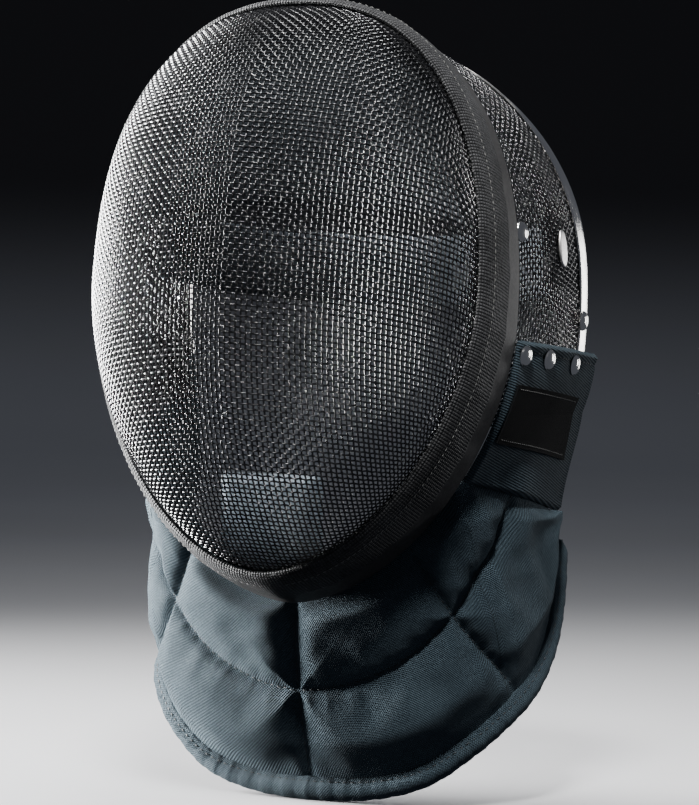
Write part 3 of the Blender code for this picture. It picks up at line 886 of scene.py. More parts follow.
@dataclass(frozen=True)
class FineWeave:
    """A close plain weave, for the label, the linings and the elastic."""

    dark: tuple[float, float, float]
    light: tuple[float, float, float]
    pitch: float = 0.0006
    depth: float = 0.00012
    roughness: float = 0.85
    sheen: float = 0.0

    def build(self, name: str, groups: ClothGroups) -> Material:
        """Makes the material.

        Args:
            name: the material's name.
            groups: the shared shader groups.

        Returns:
            The material.
        """
        dress = Dressing(name, groups)
        board = dress.board
        threads = dress.group(groups.threads, Place=board.cloth_place(), Thread_Pitch=self.pitch)
        fuzz = dress.group(groups.fuzz, Place=board.place(), Fineness=1.0)
        # the tone darkens the thread gaps with painted shade, at a little over half strength
        tone = dress.group(
            groups.tone,
            Place=board.place(),
            Dark=self.dark,
            Light=self.light,
            Valley=board.math("MULTIPLY", threads.outputs["Valley"], 0.55),
        )
        dress.set(
            Base_Color=tone.outputs["Color"],
            Roughness=self.roughness,
            Specular_IOR_Level=0.08,
            Sheen_Weight=self.sheen,
        )
        dress.bump((threads.outputs["Height"], self.depth), (fuzz.outputs["Height"], 0.00004))
        return dress.material


@dataclass(frozen=True)
class SewingThread:
    """Twisted sewing thread."""

    color: tuple[float, float, float] = (0.020, 0.026, 0.030)

    def build(self, name: str, groups: ClothGroups) -> Material:
        """Makes the material.

        Args:
            name: the material's name.
            groups: the shared shader groups.

        Returns:
            The material.
        """
        dress = Dressing(name, groups)
        fuzz = dress.group(groups.fuzz, Place=dress.board.place(), Fineness=1.3)
        share = dress.board.math("MULTIPLY", fuzz.outputs["Flecks"], 0.3)
        dress.set(
            Base_Color=dress.board.mix(share, self.color, (0.12, 0.13, 0.13)),
            Roughness=0.6,
            Sheen_Weight=0.2,
        )
        dress.bump((fuzz.outputs["Height"], 0.00005))
        return dress.material


def finish_piece(
    piece: Piece, material: Material, slot: str, *nodes: str, smooth: float = 60.0
) -> Piece:
    """Dresses a new piece and ties it to the frame.

    Args:
        piece: the new object.
        material: its material.
        slot: the record's material slot; not used.
        nodes: the CAD nodes that it stands for.
        smooth: faces that meet under this angle in degrees are shaded as one.

    Returns:
        The piece.
    """
    mesh = piece.data
    mesh.materials.clear()
    mesh.materials.append(material)
    mesh.shade_smooth()
    mesh.set_sharp_from_angle(angle=math.radians(smooth))
    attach(piece, BODY)
    if nodes:
        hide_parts(*nodes)
    LOG.info("%s: %d faces", piece.name, len(mesh.polygons))
    return piece


def mesh_piece(name: str, points: Array, faces: Array | list, cloth: Array | None = None) -> Piece:
    """An object from points and faces.

    Args:
        name: the piece's name.
        points: as (n, 3).
        faces: rows of point numbers.
        cloth: the place on the cloth of each point, as (n, 3).

    Returns:
        The object, in the scene.
    """
    mesh = bpy.data.meshes.new(name)
    rows = faces.tolist() if isinstance(faces, np.ndarray) else faces
    mesh.from_pydata(points.tolist(), [], rows)
    if cloth is not None:
        layer = mesh.attributes.new("cloth", "FLOAT_VECTOR", "POINT")
        layer.data.foreach_set("vector", cloth.astype(np.float32).ravel())
    mesh.validate()
    piece = bpy.data.objects.new(name, mesh)
    bpy.context.scene.collection.objects.link(piece)
    return piece


def grid_faces(rows: int, columns: int, wrap: bool = False) -> Array:
    """Quads over a grid of points, row by row.

    Args:
        rows: points down.
        columns: points along.
        wrap: whether the last column joins the first.

    Returns:
        Point numbers as (n, 4).
    """
    i, j = np.meshgrid(
        np.arange(rows - 1), np.arange(columns if wrap else columns - 1), indexing="ij"
    )
    k = (j + 1) % columns
    quads = (i * columns + j, i * columns + k, (i + 1) * columns + k, (i + 1) * columns + j)
    return np.stack(quads, -1).reshape(-1, 4)


def closed_cloth(name: str, outer: Array, inner: Array, cloth: Array) -> Piece:
    """A closed body between two grids, with its border joined.

    Args:
        name: the piece's name.
        outer: the side that faces out, as (rows, columns, 3).
        inner: the other side.
        cloth: the place on the cloth, as (rows, columns, 3).

    Returns:
        The object.
    """
    rows, columns = outer.shape[:2]
    number = np.arange(rows * columns).reshape(rows, columns)
    border = np.concatenate([number[0], number[1:, -1], number[-1, -2::-1], number[-2:0:-1, 0]])
    after = np.roll(border, -1)
    skip = rows * columns
    front = grid_faces(rows, columns)
    rim = np.stack([after, border, border + skip, after + skip], -1)
    faces = np.concatenate([front, front[:, ::-1] + skip, rim])
    points = np.concatenate([outer.reshape(-1, 3), inner.reshape(-1, 3)])
    middle = outer[rows // 2, columns // 2] - inner[rows // 2, columns // 2]
    normal = grid_normals(outer)[rows // 2, columns // 2]
    if np.dot(middle, normal) > 0:
        faces = faces[:, ::-1]
    places = np.concatenate([cloth.reshape(-1, 3)] * 2)
    return mesh_piece(name, points, faces, places)


def swept(
    name: str, rings: Array, closed: bool, cloth: Array | None = None, capped: bool = True
) -> Piece:
    """A body through rings of points.

    Args:
        name: the piece's name.
        rings: as (rings, sides, 3), with each ring turning the same way.
        closed: whether the last ring joins the first.
        cloth: the place on the cloth, as (rings, sides, 3).
        capped: whether an open sweep gets end faces.

    Returns:
        The object.
    """
    count, sides = rings.shape[:2]
    number = np.arange(count * sides).reshape(count, sides)
    first = number if closed else number[:-1]
    last = np.roll(number, -1, axis=0) if closed else number[1:]
    quads = np.stack([first, np.roll(first, -1, 1), np.roll(last, -1, 1), last], -1).reshape(-1, 4)
    faces = quads.tolist()
    if capped and not closed:
        faces += [number[0, ::-1].tolist(), number[-1].tolist()]
    points = rings.reshape(-1, 3)
    centre = rings[count // 2].mean(0)
    a, b, c = points[faces[len(quads) // 2][0]], points[faces[len(quads) // 2][1]], None
    c = points[faces[len(quads) // 2][2]]
    if np.dot(np.cross(b - a, c - a), (a + c) / 2 - centre) < 0:
        faces = [face[::-1] for face in faces]
    return mesh_piece(name, points, faces, None if cloth is None else cloth.reshape(-1, 3))


def frame_along(path: Array, outward: Array) -> tuple[Array, Array, Array]:
    """Axes that follow a path.

    Args:
        path: points as (n, 3).
        outward: a rough outward direction at each point.

    Returns:
        The way along, the outward way and the way across, as unit vectors.
    """
    along = unit(np.gradient(path, axis=0))
    out = unit(outward - along * (outward * along).sum(-1, keepdims=True))
    return along, out, np.cross(along, out)


class StitchRow:
    """Short sewing stitches along a path on cloth."""

    def __init__(self, length: float = 0.0026, skip: float = 0.0010, radius: float = 0.00028) -> None:
        """Sets the stitch's length, the gap between stitches and the thread's radius."""
        self.length, self.skip, self.radius = length, skip, radius

    def rings(self, path: Array, outward: Array) -> list[Array]:
        """Five rings of six points for each stitch, dipping into the cloth at both ends.

        Args:
            path: points of the sewn line as (n, 3).
            outward: the cloth's outward way at each point.

        Returns:
            One array of (5, 6, 3) for each stitch.
        """
        along = travelled(path[None], 1)[0]
        count = int(along[-1] / (self.length + self.skip))
        made = []
        turns = np.linspace(0, 2 * np.pi, 6, endpoint=False)
        for k in range(count):
            at = k * (self.length + self.skip) + self.length * np.linspace(0, 1, 5)
            spot = np.stack([np.interp(at, along, path[:, i]) for i in range(3)], -1)
            out = unit(np.stack([np.interp(at, along, outward[:, i]) for i in range(3)], -1))
            _, out, over = frame_along(spot, out)
            lift = self.radius * np.array([-1.2, 0.5, 0.8, 0.5, -1.2])[:, None]
            thick = self.radius * np.array([0.5, 1.0, 1.05, 1.0, 0.5])[:, None, None]
            ring = out[:, None] * np.cos(turns)[None, :, None]
            ring = ring + over[:, None] * np.sin(turns)[None, :, None]
            made.append((spot + out * lift)[:, None] + ring * thick)
        return made

    @staticmethod
    def piece(name: str, stitches: list[Array]) -> Piece:
        """Joins stitches into one object.

        Args:
            name: the piece's name.
            stitches: their rings of points.

        Returns:
            The object.
        """
        points, faces = [], []
        for ring in stitches:
            skip = len(points) * 30
            number = np.arange(30).reshape(5, 6) + skip
            nxt = np.roll(number, -1, 1)
            quads = np.stack([number[:-1], number[1:], nxt[1:], nxt[:-1]], -1).reshape(-1, 4)
            faces += quads.tolist()
            faces += [number[0].tolist(), number[-1, ::-1].tolist()]
            points.append(ring.reshape(-1, 3))
        return mesh_piece(name, np.concatenate(points), faces)


class SurfaceChart:
    """A surface read from a table of points, with two coordinates in metres along it."""

    def __init__(self, table: Array, first: float, step_u: float, step_v: float, low_v: float) -> None:
        """Keeps the table and what its rows and columns stand for.

        Args:
            table: points by row and column.
            first: the first row's value.
            step_u: between rows.
            step_v: between columns.
            low_v: the first column's value.
        """
        self.table, self.first, self.step_u, self.step_v, self.low_v = (
            table,
            first,
            step_u,
            step_v,
            low_v,
        )

    def read(self, u: Array, v: Array) -> Array:
        """Points between the table's own, in straight mixes.

        Args:
            u: places along the rows' way.
            v: places along the columns' way.

        Returns:
            The points.
        """
        rows, columns = self.table.shape[:2]
        a = np.clip((u - self.first) / self.step_u, 0, rows - 1.001)
        b = np.clip((v - self.low_v) / self.step_v, 0, columns - 1.001)
        i, j = a.astype(int), b.astype(int)
        a, b = (a - i)[..., None], (b - j)[..., None]
        t = self.table
        near = t[i, j] * (1 - b) + t[i, j + 1] * b
        far = t[i + 1, j] * (1 - b) + t[i + 1, j + 1] * b
        return near * (1 - a) + far * a


class WireNet:
    """A woven net of equal cells laid over a surface, as a stamped wire cloth lies."""

    def __init__(self, surface: Callable[[Array, Array], Array], pitch: float) -> None:
        """Takes a surface that gives points for two coordinates."""
        self.surface, self.pitch = surface, pitch

    def quadrant(self, u_run: Array, v_run: Array, allowed: Callable[[Array, Array], Array]) -> Array:
        """Fills the net between two of its lines, one diagonal at a time.

        Args:
            u_run: coordinates of the nodes on the first line, as (m, 2).
            v_run: those on the second, which starts at the same node, as (n, 2).
            allowed: tells whether a place is still on the surface.

        Returns:
            Coordinates as (m, n, 2), with not-a-number where there is no node.
        """
        m, n = len(u_run), len(v_run)
        net = np.full((m, n, 2), np.nan)
        net[:, 0], net[0, :] = u_run, v_run
        for k in range(2, m + n - 1):
            i = np.arange(max(1, k - n + 1), min(m - 1, k - 1) + 1)
            j = k - i
            a, b, c = net[i - 1, j], net[i, j - 1], net[i - 1, j - 1]
            keep = np.isfinite(a[:, 0]) & np.isfinite(b[:, 0]) & np.isfinite(c[:, 0])
            if not keep.any():
                continue
            i, j, a, b, c = i[keep], j[keep], a[keep], b[keep], c[keep]
            found, miss = self._meet(a, b, a + b - c)
            good = (miss < 0.02 * self.pitch) & allowed(found[:, 0], found[:, 1])
            net[i[good], j[good]] = found[good]
        return net

    def _meet(self, a: Array, b: Array, guess: Array) -> tuple[Array, Array]:
        """The places a pitch away from both a and b, near a guess, and how far they miss.

        Args:
            a: places in the chart.
            b: places in the chart.
            guess: near the answer.

        Returns:
            The places, and each one's miss.
        """
        place = guess.copy()
        at_a, at_b = self.surface(a[:, 0], a[:, 1]), self.surface(b[:, 0], b[:, 1])
        nudge = 0.0006
        for _ in range(10):
            here = self.surface(place[:, 0], place[:, 1])
            by_u = (self.surface(place[:, 0] + nudge, place[:, 1]) - here) / nudge
            by_v = (self.surface(place[:, 0], place[:, 1] + nudge) - here) / nudge
            to_a, to_b = here - at_a, here - at_b
            f = np.linalg.norm(to_a, axis=1) - self.pitch
            g = np.linalg.norm(to_b, axis=1) - self.pitch
            to_a, to_b = unit(to_a), unit(to_b)
            fu, fv = (to_a * by_u).sum(1), (to_a * by_v).sum(1)
            gu, gv = (to_b * by_u).sum(1), (to_b * by_v).sum(1)
            size = fu * gv - fv * gu
            size = np.where(np.abs(size) < 0.02, np.where(size < 0, -0.02, 0.02), size)
            step = np.stack([(f * gv - g * fv) / size, (g * fu - f * gu) / size], -1)
            reach = np.maximum(np.linalg.norm(step, axis=1, keepdims=True), 1e-12)
            place = place - step * np.minimum(1.0, 0.6 * self.pitch / reach)
        here = self.surface(place[:, 0], place[:, 1])
        miss = np.abs(np.linalg.norm(here - at_a, axis=1) - self.pitch)
        miss = np.maximum(miss, np.abs(np.linalg.norm(here - at_b, axis=1) - self.pitch))
        return place, miss


@dataclass(frozen=True)
class WovenWire:
    """Round wires that pass over and under each other through the nodes of a net."""

    radius: float = 0.00056
    crimp: float = 0.00048
    sides: int = 4

    def build(self, name: str, nodes: Array, normals: Array, run: Run, offset: int = 0) -> Piece:
        """Makes one of the two sets of wires.

        Args:
            name: the piece's name.
            nodes: the net as (m, n, 3), with not-a-number where there is no node.
            normals: the outward way at each node.
            run: which set of wires.
            offset: added to a node's number, to keep over and under in step.

        Returns:
            The object.
        """
        i, j = np.indices(nodes.shape[:2])
        over = np.where((i + j + offset) % 2 == 0, 1.0, -1.0)
        if run is Run.LEVEL:
            nodes, normals, over = nodes.swapaxes(0, 1), normals.swapaxes(0, 1), -over.T
        rings: list[Array] = []
        for line, normal, lift in zip(nodes, normals, over):
            here = np.isfinite(line[:, 0]).astype(int)
            edges = np.flatnonzero(np.diff(np.concatenate([[0], here, [0]])))
            for start, stop in zip(edges[::2], edges[1::2]):
                if stop - start >= 3:
                    rings.append(self._wire(line[start:stop], normal[start:stop], lift[start:stop]))
        return self._join(name, rings)

    def _wire(self, line: Array, normal: Array, lift: Array) -> Array:
        """Rings of points along one wire: at each node, and half way to the next.

        Args:
            line: its nodes.
            normal: the surface's normals.
            lift: which side each node passes.

        Returns:
            The rings.
        """
        count = 2 * len(line) - 1
        path, out = np.zeros((count, 3)), np.zeros((count, 3))
        path[::2] = line + normal * (lift * self.crimp)[:, None]
        path[1::2] = 0.5 * (line[1:] + line[:-1])
        out[::2], out[1::2] = normal, 0.5 * (normal[1:] + normal[:-1])
        _, out, across = frame_along(path, out)
        turns = np.linspace(0, 2 * np.pi, self.sides, endpoint=False)
        ring = out[:, None] * np.cos(turns)[None, :, None]
        ring = ring + across[:, None] * np.sin(turns)[None, :, None]
        return path[:, None] + ring * self.radius

    def _join(self, name: str, rings: list[Array]) -> Piece:
        """Joins the wires into one mesh, each with its ends closed.

        Args:
            name: the piece's name.
            rings: each wire's rings.

        Returns:
            The object.
        """
        points = np.concatenate([ring.reshape(-1, 3) for ring in rings])
        quads, skip = [], 0
        for ring in rings:
            number = np.arange(len(ring) * self.sides).reshape(-1, self.sides) + skip
            nxt = np.roll(number, -1, 1)
            quads.append(np.stack([number[:-1], nxt[:-1], nxt[1:], number[1:]], -1).reshape(-1, 4))
            quads.append(number[:1, ::-1])
            quads.append(number[-1:])
            skip += number.size
        return mesh_piece(name, points, np.concatenate(quads))


@dataclass
class FaceMesh:
    """The domed face mesh, in upright and level wires."""

    form: MaskForm
    pitch: float = 0.00275
    tuck: float = 0.0035
    wire: WovenWire = WovenWire()

    def _chart(self) -> tuple[Callable[[Array, Array], Array], Array, Array]:
        """A chart of the half dome: (u, v) is a direction and a distance from its middle.

        Returns:
            The surface, the angles and the rim's distances.
        """
        angles = np.radians(np.linspace(0.0, 180.0, 361))
        shares = np.sin(np.linspace(0.0, 0.5 * np.pi, 500))
        dome = self.form.dome(angles[:, None], shares[None, :])
        deep = 0.02
        x, z, _, _ = self.form.rim(angles)
        wall = self.form.upright(x, self.form.rim_back(z) + deep, z)
        dome = np.concatenate([dome, wall[:, None]], 1)
        far = travelled(dome, 1)
        step = 0.0005
        reach = np.arange(0.0, 0.28, step)
        table = np.zeros((len(angles), len(reach), 3))
        for k in range(len(angles)):
            for axis in range(3):
                table[k, :, axis] = np.interp(reach, far[k], dome[k, :, axis])
        chart = SurfaceChart(table, 0.0, float(angles[1]), step, 0.0)
        rim_far = far[:, -2]

        def surface(u: Array, v: Array) -> Array:
            """A point of the whole dome, both sides alike."""
            return chart.read(np.arctan2(np.abs(u), v), np.hypot(u, v))

        return surface, angles, rim_far

    def build(self, material: Material) -> None:
        """Lays the net over the dome and makes both sets of wires.

        Args:
            material: the finish.
        """
        surface, angles, rim_far = self._chart()
        net = WireNet(surface, self.pitch)

        def allowed(u: Array, v: Array, spare: float = 0.012) -> Array:
            """Whether a place lies on the dome, or a little past the rim."""
            limit = np.interp(np.arctan2(np.abs(u), v), angles, rim_far) + spare
            return (np.hypot(u, v) < limit) & (u > -0.3 * self.pitch)

        def line(count: int, way: tuple[float, float]) -> Array:
            """A straight wire of the chart, from the middle."""
            far = np.arange(count + 1) * self.pitch
            return np.stack([far * way[0], far * way[1]], -1)

        across = int((np.interp(0.5 * np.pi, angles, rim_far) + 0.01) / self.pitch)
        up = int((rim_far[0] + 0.01) / self.pitch)
        down = int((rim_far[-1] + 0.01) / self.pitch)
        upper = net.quadrant(line(across, (1.0, 0.0)), line(up, (0.0, 1.0)), allowed)
        lower = net.quadrant(line(across, (1.0, 0.0)), line(down, (0.0, -1.0)), allowed)
        half = np.concatenate([lower[:, :0:-1], upper], 1)
        u, v = half[..., 0], half[..., 1]
        with np.errstate(invalid="ignore"):
            keep = allowed(u, v, self.tuck)
        u, v = np.where(keep, u, 0.0), np.where(keep, v, 0.0)
        points = surface(u, v)
        nudge = 0.0008
        by_u = surface(u + nudge, v) - surface(np.maximum(u - nudge, 0.0), v)
        by_v = surface(u, v + nudge) - surface(u, v - nudge)
        normals = unit(np.cross(by_u, by_v))
        normals *= np.where((normals[..., 1] > 0)[..., None], -1.0, 1.0)
        outer = points - self.form.upright(np.array(0.0), np.array(0.02), np.array(0.0))
        normals *= np.where(((normals * outer).sum(-1) < 0)[..., None], -1.0, 1.0)
        normals[0, :, 0] = 0.0
        normals = unit(normals)
        points = points - normals * (self.wire.crimp + self.wire.radius)
        points[~keep] = np.nan
        flip = np.array([-1.0, 1.0, 1.0])
        nodes = np.concatenate([points[:0:-1] * flip, points])
        normals = np.concatenate([normals[:0:-1] * flip, normals])
        for run in Run:
            piece = self.wire.build(f"face_wires_{run.value}", nodes, normals, run)
            finish_piece(piece, material, "wire_mesh", "front_mesh", smooth=180.0)


@dataclass
class CrownMesh:
    """The mesh over the crown and down both sides, as far as the steel strip."""

    form: MaskForm
    pitch: float = 0.00275
    wire: WovenWire = WovenWire()

    def build(self, material: Material) -> None:
        """Lays the net from the crown's middle line down each side.

        Args:
            material: the finish.
        """
        form = self.form
        fine = np.radians(np.linspace(0.0, math.degrees(form.rear_angle), 500))
        bed = form.rear_skin(fine, np.full(fine.shape, 0.34))
        far = travelled(bed[None], 1)[0]
        step_u, step_v, front = 0.001, 0.001, 0.030
        u_run = np.arange(0.0, far[-1], step_u)
        angle = np.interp(u_run, far, fine)
        before = form.rear_skin(angle[:, None], np.linspace(0.0, 0.34, 40)[None])[:, ::-1]
        after = form.rear_skin(angle[:, None], np.linspace(0.34, 1.0, 80)[None])
        beyond = after[:, -1] + unit(after[:, -1] - after[:, -2]) * 0.09
        v_run = np.arange(-front, 0.14, step_v)
        table = np.zeros((len(u_run), len(v_run), 3))
        limit = travelled(after, 1)[:, -1]
        after = np.concatenate([after, beyond[:, None]], 1)
        back_far, front_far = travelled(after, 1), travelled(before, 1)
        for k in range(len(u_run)):
            for axis in range(3):
                rear = np.interp(v_run, back_far[k], after[k, :, axis])
                fore = np.interp(-v_run, front_far[k], before[k, :, axis])
                table[k, :, axis] = np.where(v_run < 0, fore, rear)
        chart = SurfaceChart(table, 0.0, step_u, step_v, -front)

        def surface(u: Array, v: Array) -> Array:
            """A point of the whole crown, mirrored past the middle."""
            point = chart.read(np.abs(u), v)
            return point * np.where((u < 0)[..., None], [-1.0, 1.0, 1.0], [1.0, 1.0, 1.0])

        def allowed(u: Array, v: Array, spare: float = 0.05) -> Array:
            """Whether a place lies on the left half, or a little past its edges."""
            edge = np.interp(u, u_run, limit)
            return (v < edge + spare) & (v > -0.02) & (u < u_run[-1]) & (u > -0.3 * self.pitch)

        net = WireNet(surface, self.pitch)
        count = int(u_run[-1] / self.pitch)
        along = np.stack([np.arange(count + 1) * self.pitch, np.zeros(count + 1)], -1)
        rear = int((limit.max() + 0.012) / self.pitch)
        back = np.stack([np.zeros(rear + 1), np.arange(rear + 1) * self.pitch], -1)
        fore = np.stack([np.zeros(4), -np.arange(4) * self.pitch], -1)
        behind = net.quadrant(along, back, allowed)
        ahead = net.quadrant(along, fore, allowed)
        half = np.concatenate([ahead[:, :0:-1], behind], 1)
        u, v = half[..., 0], half[..., 1]
        with np.errstate(invalid="ignore"):
            keep = allowed(u, v, -0.0005)
        u, v = np.where(keep, u, 0.0), np.where(keep, v, 0.0)
        points = surface(u, v)
        nudge = 0.0012
        by_u = surface(u + nudge, v) - surface(u - nudge, v)
        by_v = surface(u, v + nudge) - surface(u, v - nudge)
        normals = unit(np.cross(by_u, by_v))
        middle = points - np.array([0.0, 0.0, -form.seat_up - 0.03])
        middle[..., 1] = 0.0
        normals *= np.where(((normals * middle).sum(-1) < 0)[..., None], -1.0, 1.0)
        points = points - normals * (self.wire.crimp + self.wire.radius)
        points[~keep] = np.nan
        flip = np.array([-1.0, 1.0, 1.0])
        nodes = np.concatenate([points[:0:-1] * flip, points])
        normals = np.concatenate([normals[:0:-1] * flip, normals])
        for run in Run:
            piece = self.wire.build(f"crown_wires_{run.value}", nodes, normals, run)
            finish_piece(piece, material, "wire_mesh", "rear_mesh", smooth=180.0)


def rounded(corners: Array, steps: int) -> Array:
    """A closed smooth line through corners.

    Args:
        corners: as (n, 2) or (n, 3).
        steps: points from each corner to the next.

    Returns:
        Points as (n * steps, 2) or (n * steps, 3).
    """
    part = np.linspace(0.0, 1.0, steps, endpoint=False)[None, :, None]
    a, b, c, d = (np.roll(corners, shift, axis=0)[:, None] for shift in (1, 0, -1, -2))
    bend = (2 * a - 5 * b + 4 * c - d) * part**2 + (3 * b - a - 3 * c + d) * part**3
    return (0.5 * (2 * b + (c - a) * part + bend)).reshape(-1, corners.shape[1])


@dataclass
class RimTape:
    """Woven tape folded over the rim, with a smoother knitted band behind."""

    form: MaskForm
    around: int = 420
    fineness: int = 3

    def _line(self) -> tuple[Array, Array]:
        """The tape's section as out and back of the rim, closed and turning one way.

        Returns:
            Out and back, point by point.
        """
        form = self.form
        proud, back, lip = form.trim_proud, form.trim_back, form.trim_lip
        shape = [
            (GAP, -0.2 * lip),
            (0.06 * proud, -0.9 * lip),
            (0.20 * proud, -1.0 * lip),
            (0.36 * proud, -0.75 * lip),
            (0.52 * proud, 0.00 * back),
            (0.66 * proud, 0.06 * back),
            (0.79 * proud, 0.15 * back),
            (0.89 * proud, 0.26 * back),
            (0.955 * proud, 0.38 * back),
            (0.985 * proud, 0.50 * back),
            (0.99 * proud, 0.575 * back),
            (0.94 * proud, 0.595 * back),
            (0.93 * proud, 0.64 * back),
            (0.945 * proud, 0.76 * back),
            (0.95 * proud, 0.88 * back),
            (0.93 * proud, 0.96 * back),
            (0.84 * proud, 0.995 * back),
            (0.72 * proud, 0.995 * back),
            (form.trim_bed + 0.0004, 0.97 * back),
            (form.trim_bed, 0.92 * back),
            (0.5 * form.trim_bed, 0.5 * back),
            (GAP, form.flange + 0.001),
        ]
        out, back_of = rounded(np.array(shape), self.fineness).T
        return out, back_of

    def build(self, material: Material, thread: Material) -> None:
        """Sweeps the tape round the rim and sews its lip.

        Args:
            material: the finish.
            thread: the stitches' finish.
        """
        angles = np.linspace(0.0, 2 * np.pi, self.around, endpoint=False)
        out, back = self._line()
        wave = 0.00022 * np.sin(31 * angles + 0.8 * np.sin(5 * angles))
        wave = wave + 0.00016 * np.sin(57 * angles + 1.7)
        soft = np.sin(np.pi * np.clip(back / self.form.trim_back, 0, 1))
        join = bell(np.abs(angles - math.radians(179.0)), math.radians(2.6))
        rings = self.form.by_rim(
            angles[:, None],
            out[None] + wave[:, None] * soft[None] + 0.0011 * join[:, None] * soft[None],
            back[None] + 0.4 * wave[:, None],
        )
        cloth = np.zeros_like(rings)
        crown = 8 * self.fineness
        path = travelled(np.concatenate([rings[:, crown], rings[:1, crown]])[None], 1)[0][:-1]
        cloth[..., 0] = path[:, None]
        cloth[..., 1] = travelled(rings, 1)
        cloth[..., 2] = np.clip(back / self.form.trim_back, 0.0, 1.0)[None]
        piece = swept("rim_tape", rings, True, cloth)
        finish_piece(piece, material, "trim", "rim_binding", smooth=80.0)
        spots = np.concatenate([angles, angles[:1]])
        line = self.form.by_rim(spots, 0.80 * self.form.trim_proud, 0.155 * self.form.trim_back)
        higher = self.form.by_rim(spots, 1.5 * self.form.trim_proud, 0.10 * self.form.trim_back)
        stitches = StitchRow(0.0024, 0.0012, 0.00022).rings(line, unit(higher - line))
        sewn = StitchRow.piece("rim_tape_stitches", stitches)
        finish_piece(sewn, thread, "trim")


@dataclass
class SteelStrip:
    """The polished strip folded over the mesh's rear edge."""

    form: MaskForm
    width: float = 0.012
    lap: float = 0.005
    angle: float = math.radians(104)

    def build(self, material: Material) -> None:
        """Sweeps the strip's folded section along the rear edge.

        Args:
            material: the finish.
        """
        form, wall = self.form, self.form.strip_wall
        angles = np.linspace(-self.angle, self.angle, 241)
        edge = form.rear_edge(angles)
        along = unit(edge - form.rear_skin(angles, np.full(angles.shape, 0.9)))
        outward = form.centred(edge) * np.array([1.0, 0.0, 1.0])
        outward = unit(outward - along * (outward * along).sum(-1, keepdims=True))
        out = self.width - self.lap
        section = [
            (-self.lap, GAP + 0.3 * wall),
            (-self.lap + 0.3 * wall, GAP + wall),
            (-0.5 * self.lap, GAP + 1.08 * wall),
            (0.1 * self.lap, GAP + 1.12 * wall),
            (0.55 * out, GAP + 1.12 * wall),
            (0.80 * out, GAP + 1.02 * wall),
            (0.93 * out, GAP + 0.62 * wall),
            (out, GAP - 0.2 * wall),
            (out - 0.05 * wall, -0.0010),
            (out - 0.5 * wall, -0.0022),
            (out - 1.2 * wall, -0.0031),
            (0.45 * out, -0.0032),
            (0.30 * out, -0.0029),
            (0.32 * out, -0.0018),
            (0.5 * out, GAP - 0.4 * wall),
            (0.2 * out, GAP),
            (-0.6 * self.lap, GAP),
        ]
        rings = np.stack([edge + along * a + outward * b for a, b in section], 1)
        piece = swept("steel_strip", rings, False)
        finish_piece(piece, material, "steel", "rear_strip", smooth=45.0)


def turned(
    name: str,
    at: Array,
    outward: Array,
    profile: list[tuple[float, float]],
    sides: int = 36,
    stretch: tuple[float, float] = (1.0, 1.0),
) -> Piece:
    """A closed piece turned about an axis.

    Args:
        name: the piece's name.
        at: the foot of its axis.
        outward: the way that its axis points.
        profile: radius and height, from its rim to its top.
        sides: points round it.
        stretch: its width and height over a round one's.

    Returns:
        The object.
    """
    outward = unit(outward)
    across = unit(np.cross([0.0, 0.0, 1.0], outward))
    up = np.cross(outward, across)
    turns = np.linspace(0, 2 * np.pi, sides, endpoint=False)
    ring = across * (stretch[0] * np.cos(turns))[:, None] + up * (stretch[1] * np.sin(turns))[:, None]
    rings = np.stack([at + ring * radius + outward * height for radius, height in profile])
    return swept(name, rings, False)


